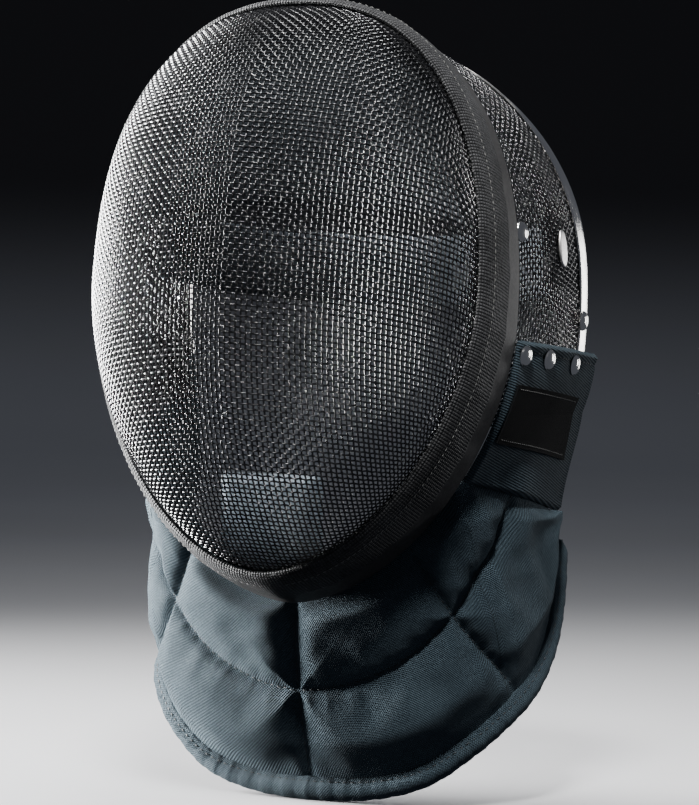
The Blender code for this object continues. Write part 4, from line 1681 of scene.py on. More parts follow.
@dataclass
class Fasteners:
    """Domed rivets, and the oval discs that anchor the strap."""

    form: MaskForm
    radius: float = 0.0054
    rise: float = 0.0030
    trim_rivet_up: float = 0.035
    rear_rivet_up: float = -0.011
    disc_back: float = 0.094
    disc_up: float = 0.027
    disc_size: tuple[float, float] = (0.0045, 0.0098)

    def rivet_profile(self) -> list[tuple[float, float]]:
        """Radius and height from the washer's rim over the dome to its top.

        Returns:
            The profile.
        """
        r, h = self.radius, self.rise
        lip = [(0.985 * r, 0.0), (r, 0.06 * h), (r, 0.16 * h), (0.97 * r, 0.22 * h)]
        dome = [
            (0.95 * r * math.cos(a), 0.22 * h + 0.78 * h * math.sin(a))
            for a in np.radians([8, 20, 32, 44, 56, 68, 80, 88])
        ]
        return lip + dome + [(0.0004, h)]

    def on_skin(self, back: float, up: float) -> tuple[Array, Array]:
        """A place on the side mesh behind the trim, and its outward way.

        Args:
            back: how far back.
            up: how far up.

        Returns:
            The place and the way.
        """
        step = 0.004
        y = np.array([back, back - step, back])
        z = np.array([up, up, up - step])
        x = self.form.side_skin(y, z)
        spots = np.stack([x, y - self.form.seat_back, z - self.form.seat_up], -1)
        normal = unit(np.cross(spots[1] - spots[0], spots[2] - spots[0]))
        return spots[0], normal * np.sign(normal[0])

    def pair(self, name: str, at: Array, outward: Array, node: str, material: Material,
             **kind: object) -> None:
        """Makes the same fastener on both sides.

        Args:
            name: the pieces' name.
            at: the left one's foot.
            outward: its outward way.
            node: the node it stands for.
            material: the finish.
            kind: what turned() takes.
        """
        for side in Side:
            flip = np.array([side.value, 1.0, 1.0])
            piece = turned(f"{name}_{side.name.lower()}", at * flip, outward * flip, **kind)
            finish_piece(piece, material, "steel", f"{node}_{side.name.lower()}", smooth=35.0)

    def build(self, material: Material, brushed: Material) -> None:
        """Sets the rivets and discs on the mesh.

        Args:
            material: the rivets' steel.
            brushed: the discs' steel.
        """
        form = self.form
        edge = form.centred(form.by_rim(np.array(math.radians(76)), 0.0, form.trim_back))
        at, out = self.on_skin(float(edge[1]) + self.radius + 0.0018, self.trim_rivet_up)
        self.pair("trim_rivet_head", at + out * 2 * GAP, out, "trim_rivet", material,
                  profile=self.rivet_profile())
        at, out = self.on_skin(form.rear_edge_back - 0.005, self.rear_rivet_up)
        lift = form.strip_wall + 3 * GAP
        self.pair("strip_rivet_head", at + out * lift, out, "rear_rivet", material,
                  profile=self.rivet_profile())
        at, out = self.on_skin(self.disc_back, self.disc_up)
        wall = 0.0014
        plate = [(0.97, 0.0), (1.0, 0.2 * wall), (1.0, 0.5 * wall), (0.96, 0.78 * wall),
                 (0.88, 0.92 * wall), (0.6, 1.06 * wall), (0.30, 1.14 * wall), (0.05, 1.16 * wall)]
        self.pair("strap_anchor", at + out * 2 * GAP, out, "strap_disc", brushed,
                  profile=plate, stretch=self.disc_size, sides=48)


@dataclass
class ThroatBib:
    """The padded bib: lobes between sewn lines, from under the trim to the hem."""

    form: MaskForm
    half_width: float = 0.112
    reach: float = 0.110
    drop: float = 0.254
    bulge: float = 0.006
    backing: float = 0.004
    puff: float = 0.0085
    seam_slope: float = 0.0095
    seam_grip: float = 0.0024
    turn: float = 0.60
    tuck: float = 0.08
    hem_radius: float = 0.0062
    flap_foot: float = -0.0955
    flap_fall: float = 0.018
    under_flap: float = 0.008
    flap_line: Array | None = None
    columns: int = 400
    rows: int = 120

    def _point(self, x: float, y: float, z: float) -> Array:
        """A point given from the middle of the rim, in the head seat's frame."""
        return np.array([x, y - self.form.seat_back, z - self.form.seat_up])

    def hem_point(self, along: float) -> Array:
        """The hem's upper edge, with along from -1 at the right rear to 1 at the left.

        Args:
            along: the place along the hem.

        Returns:
            The points.
        """
        place, rows, k = abs(along), HEM_SHAPE, 0
        while k < len(rows) - 2 and place > rows[k + 1]["along"]:
            k += 1
        first, last = rows[k], rows[k + 1]
        part = (place - first["along"]) / (last["along"] - first["along"])
        before = rows[k - 1] if k else dict(last, across=-last["across"])
        after = rows[min(k + 2, len(rows) - 1)]
        keys = ("across", "back", "down")
        a, b, c, d = (np.array([row[key] for key in keys]) for row in (before, first, last, after))
        bend = (2 * a - 5 * b + 4 * c - d) * part**2 + (3 * b - a - 3 * c + d) * part**3
        across, back, down = 0.5 * (2 * b + (c - a) * part + bend)
        side = math.copysign(1.0, along)
        return self._point(side * across * self.half_width, back * self.reach, -down * self.drop)

    def hem_frame(self, along: float) -> tuple[Array, Array, Array]:
        """The hem's upper edge, the way off the bib, and the way in.

        Args:
            along: the place along the hem.

        Returns:
            The edge, the way off the bib and the way in.
        """
        edge = self.hem_point(along)
        run = unit(self.hem_point(min(along + 0.01, 1.0)) - self.hem_point(max(along - 0.01, -1.0)))
        axis = self._point(0.0, 0.9 * self.reach, 0.0)
        inward = np.array([0.0, axis[1], edge[2]]) - edge
        inward = unit(inward - run * np.dot(inward, run))
        down = np.cross(run, inward)
        if np.dot(down, edge - self._point(0.0, 0.0, -0.5 * self.drop)) < 0:
            down = -down
        return edge, down, inward

    def _top(self, along: float) -> tuple[Array, Array]:
        """The bib's top edge, and the place where it comes out behind the trim.

        Args:
            along: the place along the bib.

        Returns:
            Both points.
        """
        form = self.form
        place = min(abs(along) / self.turn, 1.0)
        last = float(form.trim_angle(self.flap_foot - 4 * GAP))
        turned_to = math.pi + (last - math.pi) * place
        covered = 0.65 * form.trim_back
        covered += (form.trim_back + 3 * GAP - covered) * float(eased((place - 0.85) / 0.15))
        share = (covered - form.flange) / (form.trim_back - form.flange)
        lining = GAP + (form.trim_bed - GAP) * min(share, 1.0)
        under = form.by_rim(np.array(turned_to), lining - 1.5 * GAP, covered)
        behind = form.by_rim(np.array(turned_to), 0.5 * form.trim_bed, form.trim_back + 14 * GAP)
        if abs(along) > self.turn:
            part = (abs(along) - self.turn) / (1 - self.turn)
            corner = self.form.centred(self.hem_point(1.0))
            rear = self._point(corner[0], corner[1], self.flap_foot - self.flap_fall - 4 * GAP)
            step = float(eased(2 * part))
            under = under + (rear - under) * step
            under = under + (rear - under) * part
            behind = behind + (rear - np.array([0, 0, 10 * GAP]) - behind) * part
            foot = self.flap_foot - self.flap_fall * part - 4 * GAP - form.seat_up
            under[2] = min(under[2], foot)
            behind[2] = min(behind[2], under[2] - 10 * GAP)
            if self.flap_line is not None:
                line = self.flap_line
                fold = np.array([np.interp(behind[1], line[:, 1], line[:, k]) for k in range(3)])
                share = float(eased(part / 0.12))
                higher = fold + np.array([-1.35 * self.backing, 0.0, self.under_flap])
                level = fold + np.array([-0.9 * self.backing, 0.0, 0.0])
                under = under + (higher - under) * share
                behind = behind + (level - behind) * share
        flip = np.array([math.copysign(1.0, along), 1.0, 1.0])
        return under * flip, behind * flip

    def surface(self, columns: int, rows: int) -> tuple[Array, Array, Array]:
        """The bib's unpadded outer side.

        Args:
            columns: points along.
            rows: points down.

        Returns:
            Points as (rows, columns, 3), and along and down at each.
        """
        along = np.linspace(-1.0, 1.0, columns)
        down = np.linspace(0.0, 1.0, rows)
        grid = np.zeros((rows, columns, 3))
        part = np.clip((down - self.tuck) / (1 - self.tuck), 0.0, 1.0)[:, None]
        covered = np.clip(down / self.tuck, 0.0, 1.0)[:, None]
        for k, place in enumerate(along):
            under, behind = self._top(float(place))
            end = self.hem_point(float(place))
            middle = self.form.centred(0.5 * (behind + end))
            outward = unit(np.array([middle[0], middle[1] - 0.75 * self.reach, 0.0]))
            short = min(1.0, 3.0 * float(np.linalg.norm(end - behind)) / self.drop)
            bend = self.bulge * (1 - 1.9 * abs(place)) * 4 * part * (1 - part)
            hung = behind + (end - behind) * part + outward * (short * bend)
            grid[:, k] = np.where(down[:, None] <= self.tuck, under + (behind - under) * covered, hung)
        return grid, *np.meshgrid(along, down)

    def seams(self, columns: int = 801, rows: int = 241) -> dict[str, Array]:
        """The sewn lines as points on the unpadded bib.

        Args:
            columns: points across.
            rows: points down.

        Returns:
            The lines by name.
        """
        grid, _, _ = self.surface(columns, rows)
        lines = {}
        for name, marks in SEAM_LINES.items():
            marks = np.array(marks)
            run = np.linspace(0, len(marks) - 1, 260)
            along = np.interp(run, np.arange(len(marks)), marks[:, 0])
            down = np.interp(run, np.arange(len(marks)), marks[:, 1])
            weight = np.ones(25) / 25
            if name != "middle":
                along[12:-12] = np.convolve(along, weight, "valid")
                down[12:-12] = np.convolve(down, weight, "valid")
            for side in Side:
                if name == "middle" and side is Side.RIGHT:
                    continue
                i = np.clip(np.round(down * (rows - 1)).astype(int), 0, rows - 1)
                spot = (0.5 + 0.5 * along * side.value) * (columns - 1)
                j = np.clip(np.round(spot).astype(int), 0, columns - 1)
                path = grid[i, j]
                for axis in range(3):
                    smooth = np.convolve(path[:, axis], np.ones(9) / 9, "valid")
                    path[4:-4, axis] = smooth
                lines[f"{name}_{side.name.lower()}"] = path
        return lines

    def _near_seams(self, grid: Array, lines: dict[str, Array]) -> tuple[Array, Array]:
        """How far each point lies from the nearest sewn line, and its place along that line.

        Args:
            grid: the bib's points.
            lines: the sewn lines.

        Returns:
            The distances and the places.
        """
        points = np.concatenate(list(lines.values()))
        runs = np.concatenate([travelled(path[None], 1)[0] for path in lines.values()])
        tree = KDTree(len(points))
        for k, point in enumerate(points):
            tree.insert(Vector(point), k)
        tree.balance()
        flat = grid.reshape(-1, 3)
        found = [tree.find(Vector(point)) for point in flat]
        far = np.array([entry[2] for entry in found]).reshape(grid.shape[:2])
        run = runs[[entry[1] for entry in found]].reshape(grid.shape[:2])
        return far, run

    def _sewn_shape(self, far: Array, down: Array) -> Array:
        """How far each point puffs out, from the padding alone."""
        edge = np.minimum(eased((down - self.tuck) / 0.14), eased((1.0 - down) / 0.22))
        return self.puff * edge * (1 - np.exp(-far / self.seam_slope))

    def _inflate(self, grid: Array, held: Array) -> Array:
        """Lets the cloth fill under pressure, held along its sewn lines.

        Args:
            grid: the cloth before filling, as (rows, columns, 3).
            held: 1 where the cloth is sewn fast, 0 where it is free.

        Returns:
            The filled cloth.
        """
        rows, columns = grid.shape[:2]
        piece = mesh_piece("bib_filling", grid.reshape(-1, 3), grid_faces(rows, columns))
        group = piece.vertex_groups.new(name="held")
        for number, value in enumerate(held.ravel()):
            group.add([number], float(value), "REPLACE")
        cloth = piece.modifiers.new("filling", "CLOTH")
        cloth.settings.quality = 5
        cloth.settings.mass = 0.25
        cloth.settings.vertex_group_mass = "held"
        cloth.settings.shrink_min = -0.012
        cloth.settings.tension_stiffness = 25
        cloth.settings.compression_stiffness = 25
        cloth.settings.shear_stiffness = 12
        cloth.settings.bending_stiffness = 3.0
        cloth.settings.use_pressure = True
        cloth.settings.uniform_pressure_force = 3.2
        cloth.settings.effector_weights.gravity = 0.0
        cloth.point_cache.frame_end = 24
        scene = bpy.context.scene
        for frame in range(1, 23):
            scene.frame_set(frame)
        made = piece.evaluated_get(bpy.context.evaluated_depsgraph_get()).to_mesh()
        points = np.empty(rows * columns * 3)
        made.vertices.foreach_get("co", points)
        scene.frame_set(1)
        mesh = piece.data
        bpy.data.objects.remove(piece, do_unlink=True)
        bpy.data.meshes.remove(mesh)
        return points.reshape(rows, columns, 3)

    def build(self, material: Material, thread: Material) -> Array:
        """Pads and sews the bib.

        Args:
            material: the cloth.
            thread: the sewing thread.

        Returns:
            The padded outer side.
        """
        grid, along, down = self.surface(self.columns, self.rows)
        lines = self.seams()
        far, run = self._near_seams(grid, lines)
        normals = grid_normals(grid)
        outward = self.form.centred(grid) - np.array([0.0, 0.75 * self.reach, 0.0])
        outward[..., 2] = 0.0
        normals *= np.where((normals * outward).sum(-1) < 0, -1.0, 1.0)[..., None]
        normals = unit(smoothed(normals, 6))
        padded = grid + normals * self._sewn_shape(far, down)[..., None]
        padded = self._filled(padded, far, down)
        rise = ((padded - grid) * normals).sum(-1)
        limit = 0.0135 * np.minimum(eased((down - self.tuck) / 0.10), 1.0) + 0.0006
        excess = np.maximum(rise - limit, 0.0)
        padded = padded - normals * excess[..., None]
        pucker = 1.0 + 0.12 * np.sin(2 * np.pi * run / 0.0075)
        groove = -0.0012 * bell(far, 0.0030) * pucker
        ripple = 0.00025 * np.sin(2 * np.pi * run / 0.0145 + 1.3 * np.sin(run / 0.02))
        groove = groove + ripple * bell(far - 0.006, 0.005)
        groove = groove * eased((down - 0.5 * self.tuck) / self.tuck)
        outer = padded + normals * groove[..., None]
        inner = grid - normals * self.backing
        ends = [self.hem_frame(float(place)) for place in along[0]]
        sink = np.array([frame[1] for frame in ends]) * 0.003
        sink = sink + np.array([frame[2] for frame in ends]) * (0.3 * self.backing)
        near = eased((down - 0.93) / 0.07)[..., None]
        outer, inner = outer + sink[None] * near, inner + sink[None] * near
        cloth = np.zeros_like(outer)
        level = travelled(grid[self.rows // 2][None], 1)
        cloth[..., 0] = level - level[:, self.columns // 2, None]
        cloth[..., 1] = travelled(grid, 0)
        cloth[..., 2] = far
        piece = closed_cloth("throat_bib", outer, inner, cloth)
        finish_piece(piece, material, "bib_cloth", "bib", smooth=80.0)
        self._sew(outer, normals, lines, grid, thread)
        return outer

    def _filled(self, padded: Array, far: Array, down: Array) -> Array:
        """The cloth filled on a coarser grid, with its change carried back to the fine one.

        Args:
            padded: the fine grid.
            far: distances from the seams.
            down: each point's share of the drop.

        Returns:
            The fine grid, filled.
        """
        coarse = padded[::2, ::2]
        fast = bell(far[::2, ::2], self.seam_grip)
        fast[0], fast[-1], fast[:, 0], fast[:, -1] = 1.0, 1.0, 1.0, 1.0
        fast = np.maximum(fast, (down[::2, ::2] <= self.tuck).astype(float))
        moved = self._inflate(coarse, fast) - coarse
        moved = smoothed(moved, 4)
        rows, columns = padded.shape[:2]
        i, j = np.arange(rows) / 2, np.arange(columns) / 2
        i, j = np.minimum(i, len(moved) - 1), np.minimum(j, moved.shape[1] - 1)
        a, b = i.astype(int), j.astype(int)
        c, d = np.minimum(a + 1, len(moved) - 1), np.minimum(b + 1, moved.shape[1] - 1)
        s, t = (i - a)[:, None, None], (j - b)[None, :, None]
        near = moved[a][:, b] * (1 - t) + moved[a][:, d] * t
        next_row = moved[c][:, b] * (1 - t) + moved[c][:, d] * t
        return padded + smoothed(near * (1 - s) + next_row * s, 2)

    def _sew(self, outer: Array, normals: Array, lines: dict[str, Array], grid: Array,
             thread: Material) -> None:
        """Lays stitches in the sewn lines.

        Args:
            outer: the outer side.
            normals: its normals.
            lines: the sewn lines.
            grid: the unpadded bib.
            thread: the stitches' finish.
        """
        tree = KDTree(grid.shape[0] * grid.shape[1])
        flat, top, out = grid.reshape(-1, 3), outer.reshape(-1, 3), normals.reshape(-1, 3)
        for k, point in enumerate(flat):
            tree.insert(Vector(point), k)
        tree.balance()
        stitches: list[Array] = []
        for path in lines.values():
            near = [tree.find_n(Vector(point), 4) for point in path[6:-6:3]]
            spot = np.array([np.mean([top[e[1]] for e in found], 0) for found in near])
            way = np.array([np.mean([out[e[1]] for e in found], 0) for found in near])
            stitches += StitchRow(0.0030, 0.0011, 0.00024).rings(spot, unit(way))
        piece = StitchRow.piece("bib_seam_stitches", stitches)
        finish_piece(piece, thread, "bib_cloth")


@dataclass
class RolledHem:
    """The rolled hem along the bib's lower edge."""

    bib: ThroatBib
    steps: int = 360
    sides: int = 28

    def build(self, material: Material, thread: Material) -> None:
        """Rolls the hem, with a sewn groove next to the bib.

        Args:
            material: the finish.
            thread: the stitches' finish.
        """
        radius = self.bib.hem_radius
        centres, downs, inwards, edges = [], [], [], []
        for place in np.linspace(-1.0, 1.0, self.steps):
            edge, down, inward = self.bib.hem_frame(float(place))
            centres.append(edge + inward * (0.5 * self.bib.backing) + down * (radius + 2 * GAP))
            downs.append(down)
            inwards.append(inward)
            edges.append(edge)
        centre, down, inward = np.array(centres), np.array(downs), np.array(inwards)
        turns = np.linspace(0, 2 * np.pi, self.sides, endpoint=False)
        far = travelled(centre[None], 1)[0]
        lumps = 0.00016 * np.sin(2 * np.pi * far / 0.011 + np.sin(far / 0.013))
        lumps = lumps + 0.00010 * np.sin(2 * np.pi * far / 0.0043)
        pinch = 0.0012 * bell(np.abs(turns - np.radians(222.0)), 0.30)
        size = radius * (1.0 + 0.03 * np.cos(2 * turns))[None] + lumps[:, None] - pinch[None]
        ends = np.minimum(far, far[-1] - far)
        size = size * (0.55 + 0.45 * eased(ends / 0.006))[:, None]
        ring = down[:, None] * np.cos(turns)[None, :, None]
        ring = ring + inward[:, None] * np.sin(turns)[None, :, None]
        rings = centre[:, None] + ring * size[..., None]
        cloth = np.zeros_like(rings)
        cloth[..., 0] = far[:, None]
        cloth[..., 1] = (turns * radius)[None]
        piece = swept("rolled_hem", rings, False, cloth)
        finish_piece(piece, material, "bib_cloth", "bib_hem", smooth=80.0)
        turn = np.radians(222.0)
        way = down * math.cos(turn) + inward * math.sin(turn)
        line = centre + way * (radius - 0.0011)
        stitches = StitchRow(0.0030, 0.0012, 0.00026).rings(line[6:-6], way[6:-6])
        sewn = StitchRow.piece("hem_stitches", stitches)
        finish_piece(sewn, thread, "bib_cloth")


@dataclass
class SideFlap:
    """One upper end of the bib, riveted over the side of the mesh."""

    form: MaskForm
    bib: ThroatBib
    side: Side
    top: float = -0.021
    foot: float = -0.0955
    top_fall: float = 0.008
    foot_fall: float = 0.018
    overhang: float = 0.014
    hang: float = -0.060
    free: float = 0.45
    wall: float = 0.004
    taper: float = 0.007
    rivet_drop: float = 0.0075
    rivets: tuple[float, ...] = (0.055, 0.31, 0.66)
    columns: int = 110
    rows: int = 84

    def skin(self, back: Array, down: Array) -> Array:
        """The flap's outer side on the left, with both shares from 0 to 1.

        Args:
            back: the share backward.
            down: the share downward.

        Returns:
            The points.
        """
        form = self.form
        back, down = np.broadcast_arrays(np.asarray(back, float), np.asarray(down, float))
        edge = self.top + (self.foot - self.top) * down
        front = form.centred(form.by_rim(form.trim_angle(edge), form.trim_bed, form.trim_back))
        front = front[..., 1] + 4 * GAP
        last = form.centred(self.bib.hem_point(1.0))[1] + 2 * self.bib.hem_radius
        rear = form.rear_edge_back + self.overhang
        rear = rear + (last - rear) * down**1.6
        y = front + (rear - front) * back
        top = self.top - self.top_fall * back
        foot = self.foot - self.foot_fall * back
        z = top + (foot - top) * down
        reach = np.minimum(y, form.rear_edge_back - 0.002)
        fallen = (self.top - z) / (self.top - self.foot) - 0.3
        hung = form.side_skin(reach, np.maximum(z, self.hang)) - self.taper * eased(fallen)
        close = form.side_skin(reach, z)
        x = close + (hung - close) * eased(back / self.free)
        x = x + GAP + form.strip_wall + self.wall + 2 * GAP
        return np.stack([x, y - form.seat_back, z - form.seat_up], -1)

    def build(self, material: Material, thread: Material, steel: Material, heads: Fasteners) -> Piece:
        """Cuts, folds and rivets the flap.

        Args:
            material: the cloth.
            thread: the sewing thread.
            steel: the rivets' metal.
            heads: the rivets' sizes.

        Returns:
            The flap.
        """
        back, down = np.meshgrid(np.linspace(0, 1, self.columns), np.linspace(0, 1, self.rows))
        grid = self.skin(back, down)
        normals = grid_normals(grid)
        normals *= np.sign(normals[..., :1].mean())
        along, fallen = travelled(grid, 1), travelled(grid, 0)
        rest = -0.0002 + 0.0 * along
        rest += 0.0009 * bell(fallen - 0.0, 0.0035)
        rest -= 0.0007 * bell(fallen - 0.0062, 0.0011)
        height = self.rivet_drop
        for share in self.rivets:
            spot = self.skin(np.array(share), np.array(height / (self.top - self.foot)))
            gone = np.linalg.norm(grid - spot, axis=-1)
            rest -= 0.0017 * bell(gone, 0.0072)
            behind = np.linalg.norm(grid - spot - np.array([0.0, 0.0085, -0.001]), axis=-1)
            rest -= 0.0011 * bell(behind, 0.0050)
        rear_edge = along[:, -1:] - along
        rest += 0.0007 * bell(rear_edge, 0.004)
        rest += 0.0006 * np.sin(along / 0.016 + 2.0 * fallen / 0.03) * eased((fallen - 0.02) / 0.03)
        rest = np.clip(rest, -0.0030, 0.0012)
        outer = grid + normals * rest[..., None]
        edge = np.minimum.reduce([
            eased(along / 0.0022), eased(rear_edge / 0.0022),
            eased(fallen / 0.0022), eased((fallen[-1:] - fallen) / 0.0022),
        ])
        thick = self.wall * (0.35 + 0.65 * edge)
        inner = grid - normals * self.wall
        outer = inner + (outer - inner) * (thick / self.wall)[..., None]
        cloth = np.stack([along, fallen, np.zeros_like(along)], -1)
        flip = np.array([self.side.value, 1.0, 1.0])
        name = f"side_flap_cloth_{self.side.name.lower()}"
        node = f"side_flap_{self.side.name.lower()}"
        piece = closed_cloth(name, outer * flip, inner * flip, cloth)
        finish_piece(piece, material, "bib_cloth", node, smooth=80.0)
        row = 6
        line = outer[row, 4:-4] + normals[row, 4:-4] * 0.0001
        stitches = StitchRow(0.0024, 0.0012, 0.00024).rings(line * flip, normals[row, 4:-4] * flip)
        sewn = StitchRow.piece(f"flap_stitches_{self.side.name.lower()}", stitches)
        finish_piece(sewn, thread, "bib_cloth")
        for number, share in enumerate(self.rivets, start=1):
            drop = height / (self.top - self.foot)
            spots = self.skin(np.array([share, share - 0.03, share]), np.array([drop, drop, drop + 0.03]))
            out = unit(np.cross(spots[1] - spots[0], spots[2] - spots[0]))
            out = out * np.sign(out[0])
            at = spots[0] - out * 0.0010
            head = turned(
                f"flap_rivet_head_{number}_{self.side.name.lower()}",
                at * flip, out * flip, heads.rivet_profile(),
            )
            finish_piece(head, steel, "steel", f"flap_rivet_{number}_{self.side.name.lower()}", smooth=35.0)
        return piece


@dataclass
class BareLabel:
    """A woven label without words, sewn to the left flap along its top and foot."""

    flap: SideFlap
    width: float = 0.077
    height: float = 0.032
    wall: float = 0.0008
    drop: float = 0.0235
    set_back: float = 0.003

    def build(self, material: Material, thread: Material) -> None:
        """Lays the label on the flap and sews it.

        Args:
            material: the finish.
            thread: the stitches' finish.
        """
        flap = self.flap
        tall = abs(float(np.diff(flap.skin(np.array([0.5, 0.5]), np.array([0.0, 1.0]))[:, 2])[0]))
        rows, columns = 44, 100
        downs = np.linspace(self.drop, self.drop + self.height, rows) / tall
        ends = flap.skin(np.array([0.0, 1.0])[None], downs[:, None])
        long = np.linalg.norm(ends[:, 1] - ends[:, 0], axis=-1)
        places = self.set_back + self.width * np.linspace(0, 1, columns)
        grid = flap.skin(places[None] / long[:, None], np.repeat(downs[:, None], columns, 1))
        normals = grid_normals(grid)
        normals *= np.sign(normals[..., :1].mean())
        along, fallen = travelled(grid, 1), travelled(grid, 0)
        folded = bell(np.minimum(fallen, fallen[-1:] - fallen), 0.0022)
        wave = 0.00012 * np.sin(along / 0.006) + 0.00025 * folded
        outer = grid + normals * (2 * GAP + self.wall + wave)[..., None]
        inner = grid + normals * (1.2 * GAP)
        piece = closed_cloth("bare_label", outer, inner, np.stack([along, fallen, folded], -1))
        finish_piece(piece, material, "label", "label", smooth=60.0)
        stitches: list[Array] = []
        for row in (3, rows - 4):
            line = outer[row, 3:-3] + normals[row, 3:-3] * 0.0001
            stitches += StitchRow(0.0011, 0.0009, 0.00020).rings(line, normals[row, 3:-3])
        sewn = StitchRow.piece("label_stitches", stitches)
        finish_piece(sewn, thread, "label")


@dataclass
class Linings:
    """The padding that shows through the mesh, and the elastic behind the head."""

    form: MaskForm
    pad_wall: float = 0.011
    brow_up: float = 0.047
    brow_arch: float = 0.012
    brow_angle: float = math.radians(74)
    mesh_wall: float = 0.002
    chin_half_width: float = 0.028
    chin_top: float = 0.092
    chin_lean: float = 0.009
    strap_tall: float = 0.038
    strap_wall: float = 0.0025
    strap_back: float = 0.152
    strap_up: float = 0.014
    disc_back: float = 0.094
    disc_up: float = 0.027

    def _brow(self, material: Material) -> None:
        """The pad behind the top of the face mesh.

        Args:
            material: the finish.
        """
        form, columns, rows = self.form, 150, 44
        angle = np.linspace(-self.brow_angle, self.brow_angle, columns)[None]
        share = np.linspace(0.0, 1.0, rows)[:, None]
        clear = self.mesh_wall + 2 * GAP
        top = form.by_rim(angle, -clear, 1.6 * form.flange)
        brow = top.copy()
        brow[..., 0] = top[..., 0] * 0.9
        brow[..., 1] = top[..., 1] - 0.002
        sag = self.brow_arch * (brow[..., 0] / form.rim_half_width) ** 2
        level = np.minimum(self.brow_up - sag, form.centred(top)[..., 2] - 0.006)
        brow[..., 2] = level - form.seat_up
        grid = top + (brow - top) * share[..., None]
        grid[..., 1] -= 0.006 * np.sin(np.pi * share)
        middle = np.array([0.0, -form.seat_back, self.brow_up - form.seat_up])
        draw = 0.5 * self.pad_wall * (1 - share)[..., None]
        inner = grid + np.array([0.0, self.pad_wall, 0.0]) + unit(middle - grid) * draw
        round_off = np.sin(np.pi * share) ** 0.35
        mid = 0.5 * (grid + inner)
        side = np.minimum(eased((angle + self.brow_angle) / 0.12), eased((self.brow_angle - angle) / 0.12))
        fat = (round_off * (0.25 + 0.75 * side))[..., None]
        outer, inner = mid + (grid - mid) * fat, mid + (inner - mid) * fat
        cloth = np.stack([travelled(grid, 1), travelled(grid, 0), 0 * grid[..., 0]], -1)
        piece = closed_cloth("brow_pad", outer, inner, cloth)
        finish_piece(piece, material, "padding", "forehead_pad", smooth=80.0)

    def _chin(self, material: Material) -> None:
        """The pale pad that shows through the mesh at the chin.

        Args:
            material: the finish.
        """
        form, columns, rows = self.form, 60, 48
        x = np.linspace(-self.chin_half_width, self.chin_half_width, columns)[None]
        share = np.linspace(0.0, 1.0, rows)[:, None]
        out = np.abs(x) / (form.rim_half_width - self.mesh_wall)
        foot = -(form.rim_chin - 2 * GAP) * (1 - out**form.rim_chin_power) ** (1 / form.rim_chin_power)
        z = -self.chin_top + (foot + self.chin_top) * share
        y = form.rim_back(z) + form.flange + 2 * GAP - self.chin_lean * (1 - share)
        grid = form.upright(np.broadcast_to(x, z.shape), y, z)
        deep = form.upright(0.0, self.pad_wall, 0.0) - form.upright(0.0, 0.0, 0.0)
        inner = grid + deep
        mid = 0.5 * (grid + inner)
        soft = np.minimum(*(eased((self.chin_half_width + way * x) / 0.006) for way in (1.0, -1.0)))
        soft = np.minimum(soft, np.minimum(eased(share / 0.12), eased((1 - share) / 0.12)))
        fat = (0.3 + 0.7 * soft)[..., None]
        outer, inner = mid + (grid - mid) * fat, mid + (inner - mid) * fat
        cloth = np.stack([travelled(grid, 1), travelled(grid, 0), 0 * grid[..., 0]], -1)
        piece = closed_cloth("chin_cushion", outer, inner, cloth)
        finish_piece(piece, material, "chin_cloth", "chin_pad", smooth=80.0)

    def _strap(self, material: Material) -> None:
        """The wide elastic from disc to disc behind the head.

        Args:
            material: the finish.
        """
        form, columns, rows = self.form, 220, 26
        turn = np.linspace(-0.5 * np.pi, 0.5 * np.pi, columns)[None]
        share = np.linspace(0.0, 1.0, rows)[:, None]
        clear = self.mesh_wall + 2.5 * GAP
        anchor = float(form.side_skin(np.array(self.disc_back), np.array(self.disc_up))) - clear
        lap = 0.012
        x = anchor * np.sin(turn) + 0 * share
        y = self.disc_back - lap + (self.strap_back - self.disc_back + lap) * np.cos(turn) ** 0.8
        y = y + 0 * share
        up = self.disc_up + (self.strap_up - self.disc_up) * np.cos(turn) + self.strap_tall * (0.5 - share)
        skin = form.side_skin(np.minimum(y, form.rear_edge_back - 0.001), up) - clear
        x = np.sign(x) * np.minimum(np.abs(x), skin)
        grid = np.stack([x, y - form.seat_back, up - form.seat_up], -1)
        normals = unit(smoothed(grid_normals(grid), 3))
        normals *= np.sign(normals[rows // 2, columns // 2, 1])
        soft = 0.4 + 0.6 * np.minimum(eased(share / 0.05), eased((1 - share) / 0.05))
        inner = grid - normals * self.strap_wall
        mid = 0.5 * (grid + inner)
        fat = soft[..., None]
        outer, inner = mid + (grid - mid) * fat, mid + (inner - mid) * fat
        cloth = np.stack([travelled(grid, 1), travelled(grid, 0), 0 * grid[..., 0]], -1)
        piece = closed_cloth("back_elastic", outer, inner, cloth)
        finish_piece(piece, material, "elastic", "back_strap", smooth=80.0)

    def build(self, padding: Material, chin: Material, elastic: Material) -> None:
        """Makes the pads and the strap.

        Args:
            padding: the brow pad's cloth.
            chin: the chin pad's cloth.
            elastic: the strap's elastic.
        """
        self._brow(padding)
        self._chin(chin)
        self._strap(elastic)


